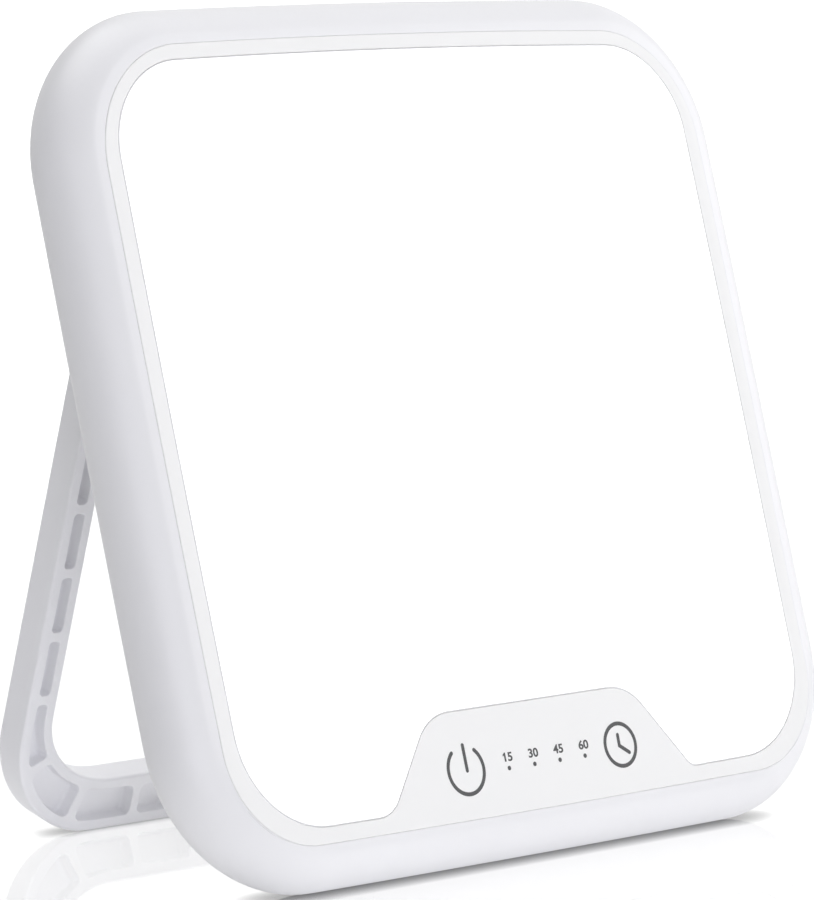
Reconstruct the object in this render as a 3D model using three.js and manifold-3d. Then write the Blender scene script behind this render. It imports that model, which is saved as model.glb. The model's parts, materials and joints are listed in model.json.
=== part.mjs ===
// A light therapy lamp: a flat, nearly square lit head with a full round rim, which leans back
// on a folding U-shaped stand. All sizes are in millimetres and all angles in degrees.
//
// The head and the stand are each drawn upright in a frame of their own. There x runs to the
// right, y runs into the depth and z runs up. The head's origin is the middle of the lit window
// on the face of the lens. The stand's origin is the hinge axis, with the arms hanging down.

import Module from 'manifold-3d';
import * as THREE from 'three';
import { mergeVertices } from 'three/addons/utils/BufferGeometryUtils.js';

// Gaps between pieces that touch, and how far a cutting tool runs past what it cuts
const seat = 0.3;
const overrun = 1;
const weldTolerance = 1e-4;

// Lit window
const windowHalfWidth = 105.6;
const windowTop = 100;
const windowBottom = 102;
const windowTopRadius = 25;
const windowBottomRadius = 26.5;
const lensThickness = 2;

// The control hump rises from the middle of the window's bottom edge.
const humpHeight = 24.6;
const humpTopHalf = 37.6;
const humpFootHalf = 56.6;
const humpTopRadius = 15;
const humpLeftFootRadius = 10;
const humpRightFootRadius = 4.5;

// White border round the window, then the round rim of the housing
const sideBorder = 4.7;
const topBorder = 4;
const bottomBorder = 4.3;
const borderTopRadius = 31.1;
const borderBottomRadius = 27.1;
const sideRim = 11.5;
const topRim = 11.6;
const bottomRim = 11.2;
const rimRadius = 11.4;
const headTopRadius = 42;
const headBottomRadius = 43;
const plateProud = 1;

// How far the middle of each side bulges past a straight line
const sideBow = 0.5;
const topBow = 1.7;
const bottomBow = 0.6;

// Walls, ledges and bosses of the housing
const shellWall = 2.2;
const plateLedge = 6.6;
const plateLedgeThickness = 2.2;
const backLip = 2.6;
const coverLedge = 3.6;
const coverLedgeThickness = 1.8;
const coverThickness = 2.8;
const bossRadius = 3.5;
const bossInset = 4.6;
const postRadius = 2.8;
const pilotWall = 1.2;

// Light engine
const filmThickness = 0.4;
const trayWall = 1.4;
const traySlope = 5.2;
const trayInset = 0.6;
const baffleWall = 1.2;
const baffleGap = 0.5;
const boardThickness = 1.6;
const ledPostHeight = 4.2;
const ledBoardInset = 6.3;
const ledPitch = 24;
const ledSize = 3.5;
const ledHeight = 0.7;
const ledEdgeMargin = 7;
const ledNotchMargin = 5;

// Touch controls behind the hump
const iconRise = 8.6;
const powerIconX = -27.8;
const timerIconX = 30.9;
const touchPadRadius = 5;
const controlPostLength = 4.7;
const controlPostRise = 8.2;
const controlBoardMargin = 2.8;
const indicatorRise = 7.1;
const firstIndicatorX = -12.1;
const indicatorPitch = 9.7;
const indicatorTimes = [15, 30, 45, 60];
const indicatorRadius = 1.5;
const indicatorFlange = 0.3;

// Driver board and power inlet
const driverClearance = 0.7;
const driverPostInset = 4.2;
const driverPostGap = 1.1;
const inductorSize = 8;
const inductorX = -30;
const capacitorRadius = 2.8;
const capacitorX = 14;
const componentHeight = 2.8;
const headerLength = 10;
const headerWidth = 2.5;
const headerX = -8;
const leadRadius = 0.9;
const leadX = -20;
const leadReach = 18;
const leadSag = 2.2;
const jackFromPost = 11;
const jackRise = 12;
const jackRadius = 5;
const jackFlange = 1.5;
const jackFlangeThickness = 1.2;
const jackBoreRadius = 2.75;
const jackPinRadius = 1.05;
const jackFloor = 2.4;
const jackPinRecess = 1;

// Self-tapping screws
const screwRadius = 1.25;
const screwHeadRadius = 2.7;
const screwHeadHeight = 1.3;
const screwLength = 5;
const coverScrewGap = 6;
const recessReachShare = 0.6;
const recessWidthShare = 0.13;
const recessFloorShare = 0.4;

// Head's lean, and where the hinge sits on its back
const headLean = 16.28;
const hingeHeight = 63;
const hingeClearance = 1;

// Stand. Its inset is from the side of the head to the outer face of an arm.
const standInset = 33.6;
const standLean = 16.54;
const armWidth = 10.1;
const armThickness = 9.6;
const barHeight = 15.2;
const outerCorner = 31.6;
const innerCornerWidth = 26.8;
const innerCornerHeight = 21.5;
const standEdge = 0.8;
const pocketDepth = 5;
const pocketWall = 3.2;
const ribWidth = 2.8;
const barRibs = 3;
const barRibPitch = 21;
const cornerRibPitch = 20.3;
const armRibPitch = 18.5;
const solidArmEnd = 14;

// Hinge hardware
const lugThickness = 7;
const lugRadius = 5.2;
const lugFoot = 9;
const washerThickness = 0.6;
const washerRadius = 4.1;
const insertRadius = 2.6;
const insertLength = 5.4;
const pivotRadius = 1.9;
const pivotThreadRadius = 1.45;
const pivotHeadRadius = 2.9;
const pivotHeadThickness = 1.8;
const pivotCapThickness = 0.8;

// Fineness of round shapes
const cornerSteps = 8;
const sideSteps = 4;
const rimSteps = 12;
const wallSteps = 7;
const filletSteps = 5;
const leadSides = 8;
const smallSides = 12;
const roundSides = 24;

// Worked out from the sizes above
const borderSize = {
  halfWidth: windowHalfWidth + sideBorder,
  top: windowTop + topBorder,
  bottom: windowBottom + bottomBorder,
  topRadius: borderTopRadius,
  bottomRadius: borderBottomRadius,
};
const windowSize = {
  halfWidth: windowHalfWidth,
  top: windowTop,
  bottom: windowBottom,
  topRadius: windowTopRadius,
  bottomRadius: windowBottomRadius,
};
const headSize = {
  halfWidth: borderSize.halfWidth + sideRim,
  top: borderSize.top + topRim,
  bottom: borderSize.bottom + bottomRim,
  topRadius: headTopRadius,
  bottomRadius: headBottomRadius,
};
const windowMiddle = (windowTop - windowBottom) / 2;
const ledColumns = copiesAlong(2 * windowHalfWidth);
const ledRows = copiesAlong(windowTop + windowBottom);
const ledScrewX = (ledColumns / 2 - 1) * ledPitch;
const backDepth = plateProud + 2 * rimRadius;
const coverInside = backDepth - coverThickness;
const coverEdge = rimRadius + backLip;
const ledgeFront = lensThickness + seat;
const ledgeBack = ledgeFront + plateLedgeThickness;
const ledBoardBack = coverInside - ledPostHeight - seat;
const ledBoardFront = ledBoardBack - boardThickness;
const trayFront = ledgeBack + seat;
const trayBack = ledBoardFront - seat;
const controlBoardFront = lensThickness + controlPostLength + seat;
const controlBoardBack = controlBoardFront + boardThickness;
const driverBoardFront = controlBoardBack + 2 * (screwHeadHeight + seat) + driverClearance;
const driverBoardBack = driverBoardFront + boardThickness;
const bossFront = Math.max(ledBoardBack, driverBoardBack) + seat;
const humpTop = humpHeight - windowBottom;
const humpSlope = Math.atan2(humpFootHalf - humpTopHalf, humpHeight);
const iconZ = iconRise - windowBottom;
const indicatorZ = indicatorRise - windowBottom;
const controlPostZ = controlPostRise - windowBottom;
const controlPostX = (timerIconX + touchPadRadius + humpHalfAt(controlPostZ)) / 2;
const driverPostZ = coverEdge + coverLedge + driverPostGap + postRadius - headSize.bottom;
const driverPostX = humpHalfAt(driverPostZ) - controlBoardMargin - driverPostInset;
const jackX = driverPostX - jackFromPost;
const jackZ = jackRise - windowBottom;
const boardTop = humpTop - controlBoardMargin;
const boardBottom = controlBoardMargin - windowBottom;
const pilotRadius = screwRadius + seat / 2;
const screwSink = screwHeadHeight + 2 * seat;
const hingeDepth = backDepth + hingeClearance + armThickness / 2;
const standHalfWidth = headSize.halfWidth - standInset;
const standLength = standReach();
const armInside = standHalfWidth - armWidth;
const lugOutside = armInside - washerThickness - 2 * seat;
const lugInside = lugOutside - lugThickness;
const pivotBore = pivotRadius + seat;
const pivotHeadBore = pivotHeadRadius + seat;
const pivotHeadSink = pivotHeadThickness + pivotCapThickness + 2 * seat;
const outerBar = standHalfWidth - outerCorner;
const innerBar = armInside - innerCornerWidth;
const barRun = (outerBar + innerBar) / 2;
const cornerRun = (outerCorner + innerCornerHeight) / 2 * (Math.PI / 2);

// How many LEDs go in a row along the board behind a length of the window
function copiesAlong(length) {
  const room = length - 2 * (ledBoardInset + ledEdgeMargin) - ledSize;
  return Math.floor(room / ledPitch) + 1;
}

// Half the width of the hump at a height on the head
function humpHalfAt(z) {
  return humpTopHalf + (humpTop - z) * Math.tan(humpSlope);
}

// The stand is as long as it has to be, with its lean, for the front of its foot to lie level
// with the lowest line of the rim.
function standReach() {
  const lean = THREE.MathUtils.degToRad(headLean);
  const tilt = THREE.MathUtils.degToRad(standLean);
  const rimZ = rimRadius - headSize.bottom - bottomBow;
  const rise = (depth, z) => z * Math.cos(lean) - depth * Math.sin(lean);
  const drop = rise(hingeDepth, hingeHeight) - rise(plateProud + rimRadius, rimZ) + rimRadius;
  const footBack = armThickness / 2 - standEdge;
  return (drop - footBack * Math.sin(tilt)) / Math.cos(tilt);
}

const wasm = await Module();
wasm.setup();

const finishes = {
  shell: new THREE.MeshStandardMaterial({ color: 0xf0f0f3, roughness: 0.42, metalness: 0 }),
  trim: new THREE.MeshStandardMaterial({ color: 0xf4f4f4, roughness: 0.3, metalness: 0 }),
  lens: new THREE.MeshStandardMaterial({ color: 0xffffff, roughness: 0.25, metalness: 0 }),
  film: new THREE.MeshStandardMaterial({ color: 0xf8f8fa, roughness: 0.6, metalness: 0 }),
  tray: new THREE.MeshStandardMaterial({ color: 0xfafafa, roughness: 0.5, metalness: 0 }),
  board: new THREE.MeshStandardMaterial({ color: 0xe9ebe8, roughness: 0.45, metalness: 0 }),
  circuit: new THREE.MeshStandardMaterial({ color: 0x1d6b3c, roughness: 0.4, metalness: 0 }),
  black: new THREE.MeshStandardMaterial({ color: 0x1b1b1d, roughness: 0.5, metalness: 0 }),
  foam: new THREE.MeshStandardMaterial({ color: 0x3b3d40, roughness: 0.9, metalness: 0 }),
  clear: new THREE.MeshStandardMaterial({ color: 0xd9dde2, roughness: 0.2, metalness: 0 }),
  steel: new THREE.MeshStandardMaterial({ color: 0xb4b6ba, roughness: 0.3, metalness: 1 }),
  brass: new THREE.MeshStandardMaterial({ color: 0xb5944a, roughness: 0.35, metalness: 1 }),
  nylon: new THREE.MeshStandardMaterial({ color: 0xe4e4e0, roughness: 0.5, metalness: 0 }),
};

// Turns a closed geometry into a solid that can be joined and cut.
function toSolid(geometry) {
  const bare = geometry.clone();
  bare.deleteAttribute('normal');
  bare.deleteAttribute('uv');
  const welded = mergeVertices(bare, weldTolerance);
  return new wasm.Manifold(new wasm.Mesh({
    numProp: 3,
    vertProperties: new Float32Array(welded.attributes.position.array),
    triVerts: new Uint32Array(welded.index.array),
  }));
}

function toGeometry(solid) {
  const { vertProperties, triVerts } = solid.getMesh();
  const geometry = new THREE.BufferGeometry();
  geometry.setAttribute('position', new THREE.BufferAttribute(vertProperties, 3));
  geometry.setIndex(new THREE.BufferAttribute(triVerts, 1));
  geometry.computeVertexNormals();
  return geometry;
}

function join(...geometries) {
  return toGeometry(geometries.map(toSolid).reduce((whole, solid) => whole.add(solid)));
}

function cut(body, ...tools) {
  return toGeometry(tools.map(toSolid).reduce((rest, tool) => rest.subtract(tool), toSolid(body)));
}

function overlapOf(first, second) {
  return toGeometry(toSolid(first).intersect(toSolid(second)));
}

function piece(name, geometry, finish) {
  const mesh = new THREE.Mesh(geometry, finish);
  mesh.name = name;
  return mesh;
}

// Gives a straight-sided outline the bow of the lamp's sides.
function bowed(point, size) {
  const across = point.x / size.halfWidth;
  const along = point.y > 0 ? point.y / size.top : point.y / size.bottom;
  const endBow = point.y > 0 ? topBow : bottomBow;
  return new THREE.Vector2(
    point.x + sideBow * across * (1 - along * along),
    point.y + endBow * along * (1 - across * across),
  );
}

function between(from, to, steps) {
  const points = [];
  for (let step = 1; step < steps; step += 1) {
    points.push(from.clone().lerp(to, step / steps));
  }
  return points;
}

function arc(centre, radius, start, end, steps) {
  const points = [];
  for (let step = 0; step <= steps; step += 1) {
    const angle = start + (end - start) * step / steps;
    const reach = new THREE.Vector2(Math.cos(angle), Math.sin(angle)).multiplyScalar(radius);
    points.push(reach.add(centre));
  }
  return points;
}

// Points of a rounded rectangle from the left side's foot, anticlockwise. The bottom edge can be
// replaced by a row of points of its own.
function outline(size, grow = 0, bottomEdge = null) {
  const halfWidth = size.halfWidth + grow;
  const corners = [
    { x: -1, z: -1, radius: size.bottomRadius + grow, height: size.bottom + grow, start: Math.PI },
    { x: 1, z: -1, radius: size.bottomRadius + grow, height: size.bottom + grow, start: 1.5 * Math.PI },
    { x: 1, z: 1, radius: size.topRadius + grow, height: size.top + grow, start: 0 },
    { x: -1, z: 1, radius: size.topRadius + grow, height: size.top + grow, start: 0.5 * Math.PI },
  ];
  const arcs = corners.map(({ x, z, radius, height, start }) => arc(
    new THREE.Vector2(x * (halfWidth - radius), z * (height - radius)),
    radius,
    start,
    start + Math.PI / 2,
    cornerSteps,
  ));
  const points = arcs.flatMap((corner, k) => {
    const from = corner[corner.length - 1];
    const to = arcs[(k + 1) % arcs.length][0];
    const side = k === 0 && bottomEdge ? bottomEdge : between(from, to, sideSteps);
    return [...corner, ...side];
  });
  return points.map((point) => bowed(point, size));
}

// Rounds the corner between two straight stretches.
function fillet(before, corner, after, radius) {
  const back = before.clone().sub(corner).normalize();
  const ahead = after.clone().sub(corner).normalize();
  const half = Math.acos(back.dot(ahead)) / 2;
  const middle = back.clone().add(ahead).normalize();
  const centre = corner.clone().add(middle.multiplyScalar(radius / Math.sin(half)));
  const first = corner.clone().add(back.multiplyScalar(radius / Math.tan(half)));
  const last = corner.clone().add(ahead.multiplyScalar(radius / Math.tan(half)));
  const start = first.clone().sub(centre).angle();
  const turn = last.clone().sub(centre).angle() - start;
  const sweep = turn - 2 * Math.PI * Math.round(turn / (2 * Math.PI));
  return arc(centre, radius, start, start + sweep, filletSteps);
}

// The hump's outline from its left foot to its right foot, moved outward by a distance.
function humpPath(grow) {
  const lift = grow / Math.cos(humpSlope);
  const topHalf = humpTopHalf + lift - grow * Math.tan(humpSlope);
  const footHalf = humpFootHalf + lift - grow * Math.tan(humpSlope);
  const foot = grow - windowBottom;
  const corners = [
    new THREE.Vector2(-windowHalfWidth, foot),
    new THREE.Vector2(-footHalf, foot),
    new THREE.Vector2(-topHalf, humpTop + grow),
    new THREE.Vector2(topHalf, humpTop + grow),
    new THREE.Vector2(footHalf, foot),
    new THREE.Vector2(windowHalfWidth, foot),
  ];
  const footRadius = (radius) => Math.max(radius - grow, seat);
  const radii = [
    footRadius(humpLeftFootRadius),
    humpTopRadius + grow,
    humpTopRadius + grow,
    footRadius(humpRightFootRadius),
  ];
  return radii.flatMap((radius, k) => fillet(corners[k], corners[k + 1], corners[k + 2], radius));
}

function windowOutline(inset = 0) {
  return outline(windowSize, -inset, humpPath(inset));
}

// A flat plate between two depths. Its outline and holes are rows of points.
function slab(points, near, far, holes = []) {
  const shape = new THREE.Shape(points);
  shape.holes = holes.map((hole) => new THREE.Path(hole));
  const geometry = new THREE.ExtrudeGeometry(shape, { depth: far - near, bevelEnabled: false });
  return geometry.rotateX(Math.PI / 2).translate(0, far, 0);
}

// A block given by its low and high corner.
function block(low, high) {
  const size = high.clone().sub(low);
  const middle = low.clone().add(high).multiplyScalar(0.5);
  return new THREE.BoxGeometry(size.x, size.y, size.z).translate(middle.x, middle.y, middle.z);
}

// A round rod into the depth, at a place on the head.
function rod(radius, near, far, x, z, sides = smallSides) {
  const geometry = new THREE.CylinderGeometry(radius, radius, far - near, sides);
  return geometry.translate(x, (near + far) / 2, z);
}

// A round rod along the hinge axis.
function axle(radius, from, to, sides = roundSides) {
  const geometry = new THREE.CylinderGeometry(radius, radius, Math.abs(to - from), sides);
  return geometry.rotateZ(Math.PI / 2).translate((from + to) / 2, 0, 0);
}

// A ring-shaped body through rows of points that go once round it.
function loft(rings) {
  const count = rings[0].length;
  const index = [];
  rings.forEach((ring, row) => {
    const next = (row + 1) % rings.length;
    for (let k = 0; k < count; k += 1) {
      const following = (k + 1) % count;
      const [a, b] = [row * count + k, row * count + following];
      const [c, d] = [next * count + following, next * count + k];
      index.push(a, c, b, a, d, c);
    }
  });
  const geometry = new THREE.BufferGeometry().setFromPoints(rings.flat());
  geometry.setIndex(index);
  geometry.computeVertexNormals();
  return geometry;
}

function ring(size, grow, depth) {
  return outline(size, grow).map((point) => new THREE.Vector3(point.x, depth, point.y));
}

// Rows of the rim's round section, at an angle from straight ahead to straight back.
function rimRow(radius, angle) {
  const inset = rimRadius - radius * Math.sin(angle);
  return ring(headSize, -inset, plateProud + rimRadius - radius * Math.cos(angle));
}

// A row of equal steps from one value to another.
function spread(from, to, steps) {
  return Array.from({ length: steps + 1 }, (_, k) => from + (to - from) * k / steps);
}

// Two screws near the ends of each straight side, and one in the middle of the top and bottom
function coverScrewPlaces() {
  const inset = coverEdge + bossInset;
  const side = headSize.halfWidth + sideBow - inset;
  const top = headSize.top + topBow - inset;
  const bottom = headSize.bottom + bottomBow - inset;
  const high = headSize.top - headTopRadius - coverScrewGap;
  const low = headBottomRadius + coverScrewGap - headSize.bottom;
  return [[-side, high], [side, high], [-side, low], [side, low], [0, top], [0, -bottom]];
}

// The lower pair stands clear of the notch for the controls.
function ledScrewPlaces() {
  const high = windowMiddle + (ledRows / 2 - 1) * ledPitch;
  const low = humpTop + 2 * ledNotchMargin;
  return [[-ledScrewX, high], [ledScrewX, high], [-ledScrewX, low], [ledScrewX, low]];
}

// Housing ring with its round rim, the ledge behind the border and the ledge for the rear cover
function frontShell() {
  const innerRadius = rimRadius - shellWall;
  const coverSeat = coverInside - seat;
  const firstAngle = Math.PI / rimSteps;
  const turnOf = (depth) => Math.acos((plateProud + rimRadius - depth) / innerRadius);
  const ledgeTurn = turnOf(ledgeBack);
  const coverTurn = turnOf(coverSeat - coverLedgeThickness);
  const body = loft([
    ring(borderSize, seat, plateProud),
    ...spread(firstAngle, Math.PI, rimSteps - 1).map((angle) => rimRow(rimRadius, angle)),
    ring(headSize, -coverEdge, backDepth),
    ring(headSize, -coverEdge, coverSeat),
    ring(headSize, -coverEdge - coverLedge, coverSeat),
    ring(headSize, -coverEdge - coverLedge, coverSeat - coverLedgeThickness),
    ...spread(coverTurn, ledgeTurn, wallSteps).map((angle) => rimRow(innerRadius, angle)),
    ring(borderSize, -plateLedge, ledgeBack),
    ring(borderSize, -plateLedge, ledgeFront),
    ring(borderSize, seat, ledgeFront),
  ]);
  const places = coverScrewPlaces();
  const bosses = places.map(([x, z]) => rod(bossRadius, bossFront, coverSeat, x, z));
  const pilots = places.map(([x, z]) => rod(pilotRadius, bossFront - overrun, coverSeat + overrun, x, z));
  return piece('front_shell', cut(join(body, ...bosses), ...pilots), finishes.shell);
}

function diffuserLens() {
  return piece('diffuser_lens', slab(windowOutline(seat), 0, lensThickness), finishes.lens);
}

// Border plate with the control hump and two posts for the touch board behind it
function frontTrim() {
  const plate = slab(outline(borderSize), 0, lensThickness, [windowOutline()]);
  const sides = [-1, 1];
  const posts = sides.map((side) => rod(
    postRadius,
    lensThickness / 2,
    lensThickness + controlPostLength,
    side * controlPostX,
    controlPostZ,
  ));
  const pilots = sides.map((side) => rod(
    pilotRadius,
    lensThickness / 2 + pilotWall,
    lensThickness + controlPostLength + overrun,
    side * controlPostX,
    controlPostZ,
  ));
  return piece('front_trim', cut(join(plate, ...posts), ...pilots), finishes.trim);
}

// Thin sheet in the opening of the ledge, which leaves the controls free
function diffuserFilm() {
  const [near, far] = [ledgeFront, ledgeFront + filmThickness];
  const opening = slab(outline(borderSize, -plateLedge - seat), near, far);
  const window = slab(windowOutline(plateLedge - sideBorder), near, far);
  return piece('diffuser_film', overlapOf(opening, window), finishes.film);
}

// Sloping white wall round the light chamber, open where the control hump is
function reflectorTray() {
  const wall = loft([
    ring(windowSize, -trayInset - trayWall, trayFront),
    ring(windowSize, -trayInset, trayFront),
    ring(windowSize, -trayInset - traySlope, trayBack),
    ring(windowSize, -trayInset - traySlope - trayWall, trayBack),
  ]);
  const gapHalf = humpFootHalf + humpLeftFootRadius;
  const notch = block(
    new THREE.Vector3(-gapHalf, 0, -windowBottom - bottomBow - overrun),
    new THREE.Vector3(gapHalf, backDepth, humpTop),
  );
  return piece('reflector_tray', cut(wall, notch), finishes.tray);
}

// Strip that keeps the lamp's light out of the space behind the controls
function lightBaffle() {
  const near = humpPath(baffleGap);
  const far = humpPath(baffleGap + baffleWall);
  return piece('light_baffle', slab([...near, ...far.reverse()], trayFront, trayBack), finishes.tray);
}

// Circuit board with a grid of LEDs, notched where the controls are
function ledBoard() {
  const notchHalf = humpFootHalf + ledNotchMargin;
  const notchTop = humpTop + ledNotchMargin;
  const plate = slab(outline(windowSize, -ledBoardInset), ledBoardFront, ledBoardBack);
  const notch = block(
    new THREE.Vector3(-notchHalf, 0, -windowBottom - bottomBow - overrun),
    new THREE.Vector3(notchHalf, backDepth, notchTop),
  );
  const leds = [];
  for (let row = 0; row < ledRows; row += 1) {
    for (let column = 0; column < ledColumns; column += 1) {
      const x = (column - (ledColumns - 1) / 2) * ledPitch;
      const z = (row - (ledRows - 1) / 2) * ledPitch + windowMiddle;
      const inNotch = Math.abs(x) < notchHalf + ledSize && z < notchTop + ledSize;
      if (!inNotch) {
        leds.push(block(
          new THREE.Vector3(x - ledSize / 2, ledBoardFront - ledHeight, z - ledSize / 2),
          new THREE.Vector3(x + ledSize / 2, ledBoardFront + boardThickness / 2, z + ledSize / 2),
        ));
      }
    }
  }
  const holes = ledScrewPlaces().map(([x, z]) => rod(screwRadius + seat, 0, backDepth, x, z));
  return piece('led_board', join(cut(plate, notch, ...holes), ...leds), finishes.board);
}

// Outline of the boards behind the hump
function boardOutline() {
  const footHalf = humpHalfAt(boardBottom) - controlBoardMargin;
  const topHalf = humpHalfAt(boardTop) - controlBoardMargin;
  return [
    new THREE.Vector2(-footHalf, boardBottom),
    new THREE.Vector2(footHalf, boardBottom),
    new THREE.Vector2(topHalf, boardTop),
    new THREE.Vector2(-topHalf, boardTop),
  ];
}

function controlBoard() {
  const plate = slab(boardOutline(), controlBoardFront, controlBoardBack);
  const bore = screwRadius + seat;
  const holes = [-1, 1].map((side) => rod(bore, 0, backDepth, side * controlPostX, controlPostZ));
  return piece('control_board', cut(plate, ...holes), finishes.circuit);
}

function touchPad(name, x) {
  const [near, far] = [lensThickness + seat, controlBoardFront - seat];
  const geometry = rod(touchPadRadius, near, far, x, iconZ, roundSides);
  return piece(name, geometry, finishes.foam);
}

// Small round indicator lights, one behind each time on the control panel
function indicators() {
  const foot = controlBoardFront - seat;
  const tip = lensThickness + seat;
  const dome = foot - indicatorRadius;
  const centre = new THREE.Vector2(0, tip + indicatorRadius);
  const profile = [
    new THREE.Vector2(0, tip),
    ...arc(centre, indicatorRadius, -Math.PI / 2, 0, filletSteps).slice(1),
    new THREE.Vector2(indicatorRadius, dome),
    new THREE.Vector2(indicatorRadius + indicatorFlange, dome),
    new THREE.Vector2(indicatorRadius + indicatorFlange, foot),
    new THREE.Vector2(0, foot),
  ];
  return indicatorTimes.map((time, k) => {
    const geometry = new THREE.LatheGeometry(profile, smallSides);
    geometry.translate(firstIndicatorX + k * indicatorPitch, 0, indicatorZ);
    return piece(`indicator_led_${time}`, geometry, finishes.clear);
  });
}

// Power board with its inductor and capacitor on the side that faces the controls
function driverBoard() {
  const plate = slab(boardOutline(), driverBoardFront, driverBoardBack);
  const top = driverBoardFront - componentHeight;
  const root = driverBoardFront + boardThickness / 2;
  const inductor = block(
    new THREE.Vector3(inductorX - inductorSize / 2, top, jackZ - inductorSize / 2),
    new THREE.Vector3(inductorX + inductorSize / 2, root, jackZ + inductorSize / 2),
  );
  const capacitor = rod(capacitorRadius, top, root, capacitorX, jackZ);
  const bore = screwRadius + seat;
  const holes = [-1, 1].map((side) => rod(bore, 0, backDepth, side * driverPostX, driverPostZ));
  return piece('driver_board', cut(join(plate, inductor, capacitor), ...holes), finishes.circuit);
}

function pinHeader() {
  const geometry = block(
    new THREE.Vector3(headerX - headerLength / 2, controlBoardBack + seat, jackZ - headerWidth / 2),
    new THREE.Vector3(headerX + headerLength / 2, driverBoardFront - seat, jackZ + headerWidth / 2),
  );
  return piece('board_pin_header', geometry, finishes.black);
}

// Short lead from the power board up to the back of the LED board
function ledLead() {
  const start = new THREE.Vector3(leadX, driverBoardBack + seat, boardTop - leadRadius * 2);
  const end = new THREE.Vector3(leadX, ledBoardBack + seat, start.z + leadReach);
  const bend = Math.max(start.y, end.y) + leadSag;
  const path = new THREE.CubicBezierCurve3(
    start,
    new THREE.Vector3(leadX, bend, start.z),
    new THREE.Vector3(leadX, bend, end.z),
    end,
  );
  const section = new THREE.Shape(arc(new THREE.Vector2(), leadRadius, 0, 2 * Math.PI, leadSides).slice(1));
  const geometry = new THREE.ExtrudeGeometry(section, { steps: smallSides, extrudePath: path });
  return piece('led_lead', geometry, finishes.black);
}

// Barrel socket that stands on the power board and comes flush with the back of the lamp
function dcJack() {
  const foot = driverBoardBack + seat;
  const flangeBack = coverInside - seat;
  const flangeFront = flangeBack - jackFlangeThickness;
  const profile = [
    new THREE.Vector2(0, foot),
    new THREE.Vector2(jackRadius, foot),
    new THREE.Vector2(jackRadius, flangeFront),
    new THREE.Vector2(jackRadius + jackFlange, flangeFront),
    new THREE.Vector2(jackRadius + jackFlange, flangeBack),
    new THREE.Vector2(jackRadius, flangeBack),
    new THREE.Vector2(jackRadius, backDepth),
    new THREE.Vector2(jackBoreRadius, backDepth),
    new THREE.Vector2(jackBoreRadius, foot + jackFloor),
    new THREE.Vector2(jackPinRadius, foot + jackFloor),
    new THREE.Vector2(jackPinRadius, backDepth - jackPinRecess),
    new THREE.Vector2(0, backDepth - jackPinRecess),
  ];
  const geometry = new THREE.LatheGeometry(profile, roundSides).translate(jackX, 0, jackZ);
  return piece('dc_jack', geometry, finishes.black);
}

// Ear that carries one end of the hinge, with a foot that spreads on the cover
function hingeLug(side) {
  const hub = arc(new THREE.Vector2(), lugRadius, 0, Math.PI, filletSteps * 2);
  const footDepth = coverInside + coverThickness / 2 - hingeDepth;
  const points = [
    new THREE.Vector2(lugFoot, footDepth),
    ...hub,
    new THREE.Vector2(-lugFoot, footDepth),
  ];
  const shape = new THREE.Shape(points);
  const geometry = new THREE.ExtrudeGeometry(shape, { depth: lugThickness, bevelEnabled: false });
  geometry.applyMatrix4(new THREE.Matrix4().makeBasis(
    new THREE.Vector3(0, 0, 1),
    new THREE.Vector3(0, 1, 0),
    new THREE.Vector3(-1, 0, 0),
  ));
  return geometry.translate(side > 0 ? lugOutside : -lugInside, hingeDepth, hingeHeight);
}

// Flat back with hinge ears, screw seats, posts for both boards and the power inlet's hole
function rearCover() {
  const plate = slab(outline(headSize, -coverEdge - seat), coverInside, backDepth);
  const sides = [-1, 1];
  const lugs = sides.map(hingeLug);
  const ledPosts = ledScrewPlaces().map(([x, z]) => rod(
    postRadius,
    coverInside - ledPostHeight,
    coverInside + coverThickness / 2,
    x,
    z,
  ));
  const driverPosts = sides.map((side) => rod(
    postRadius,
    driverBoardBack + seat,
    coverInside + coverThickness / 2,
    side * driverPostX,
    driverPostZ,
  ));
  const ledPilots = ledScrewPlaces().map(([x, z]) => rod(
    pilotRadius,
    coverInside - ledPostHeight - overrun,
    backDepth - pilotWall,
    x,
    z,
  ));
  const driverPilots = sides.map((side) => rod(
    pilotRadius,
    driverBoardBack + seat - overrun,
    backDepth - pilotWall,
    side * driverPostX,
    driverPostZ,
  ));
  const screwHoles = coverScrewPlaces().flatMap(([x, z]) => [
    rod(screwRadius + seat, coverInside - overrun, backDepth + overrun, x, z),
    rod(screwHeadRadius + seat, backDepth - screwSink, backDepth + overrun, x, z, roundSides),
  ]);
  const [near, far] = [coverInside - overrun, backDepth + overrun];
  const inlet = rod(jackRadius + seat, near, far, jackX, jackZ, roundSides);
  const insertBores = sides.map((side) => axle(
    insertRadius + seat,
    side * (lugOutside + overrun),
    side * (lugOutside - insertLength - seat),
  ).translate(0, hingeDepth, hingeHeight));
  const body = join(plate, ...lugs, ...ledPosts, ...driverPosts);
  const geometry = cut(body, ...ledPilots, ...driverPilots, ...screwHoles, inlet, ...insertBores);
  return piece('rear_cover', geometry, finishes.shell);
}

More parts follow.
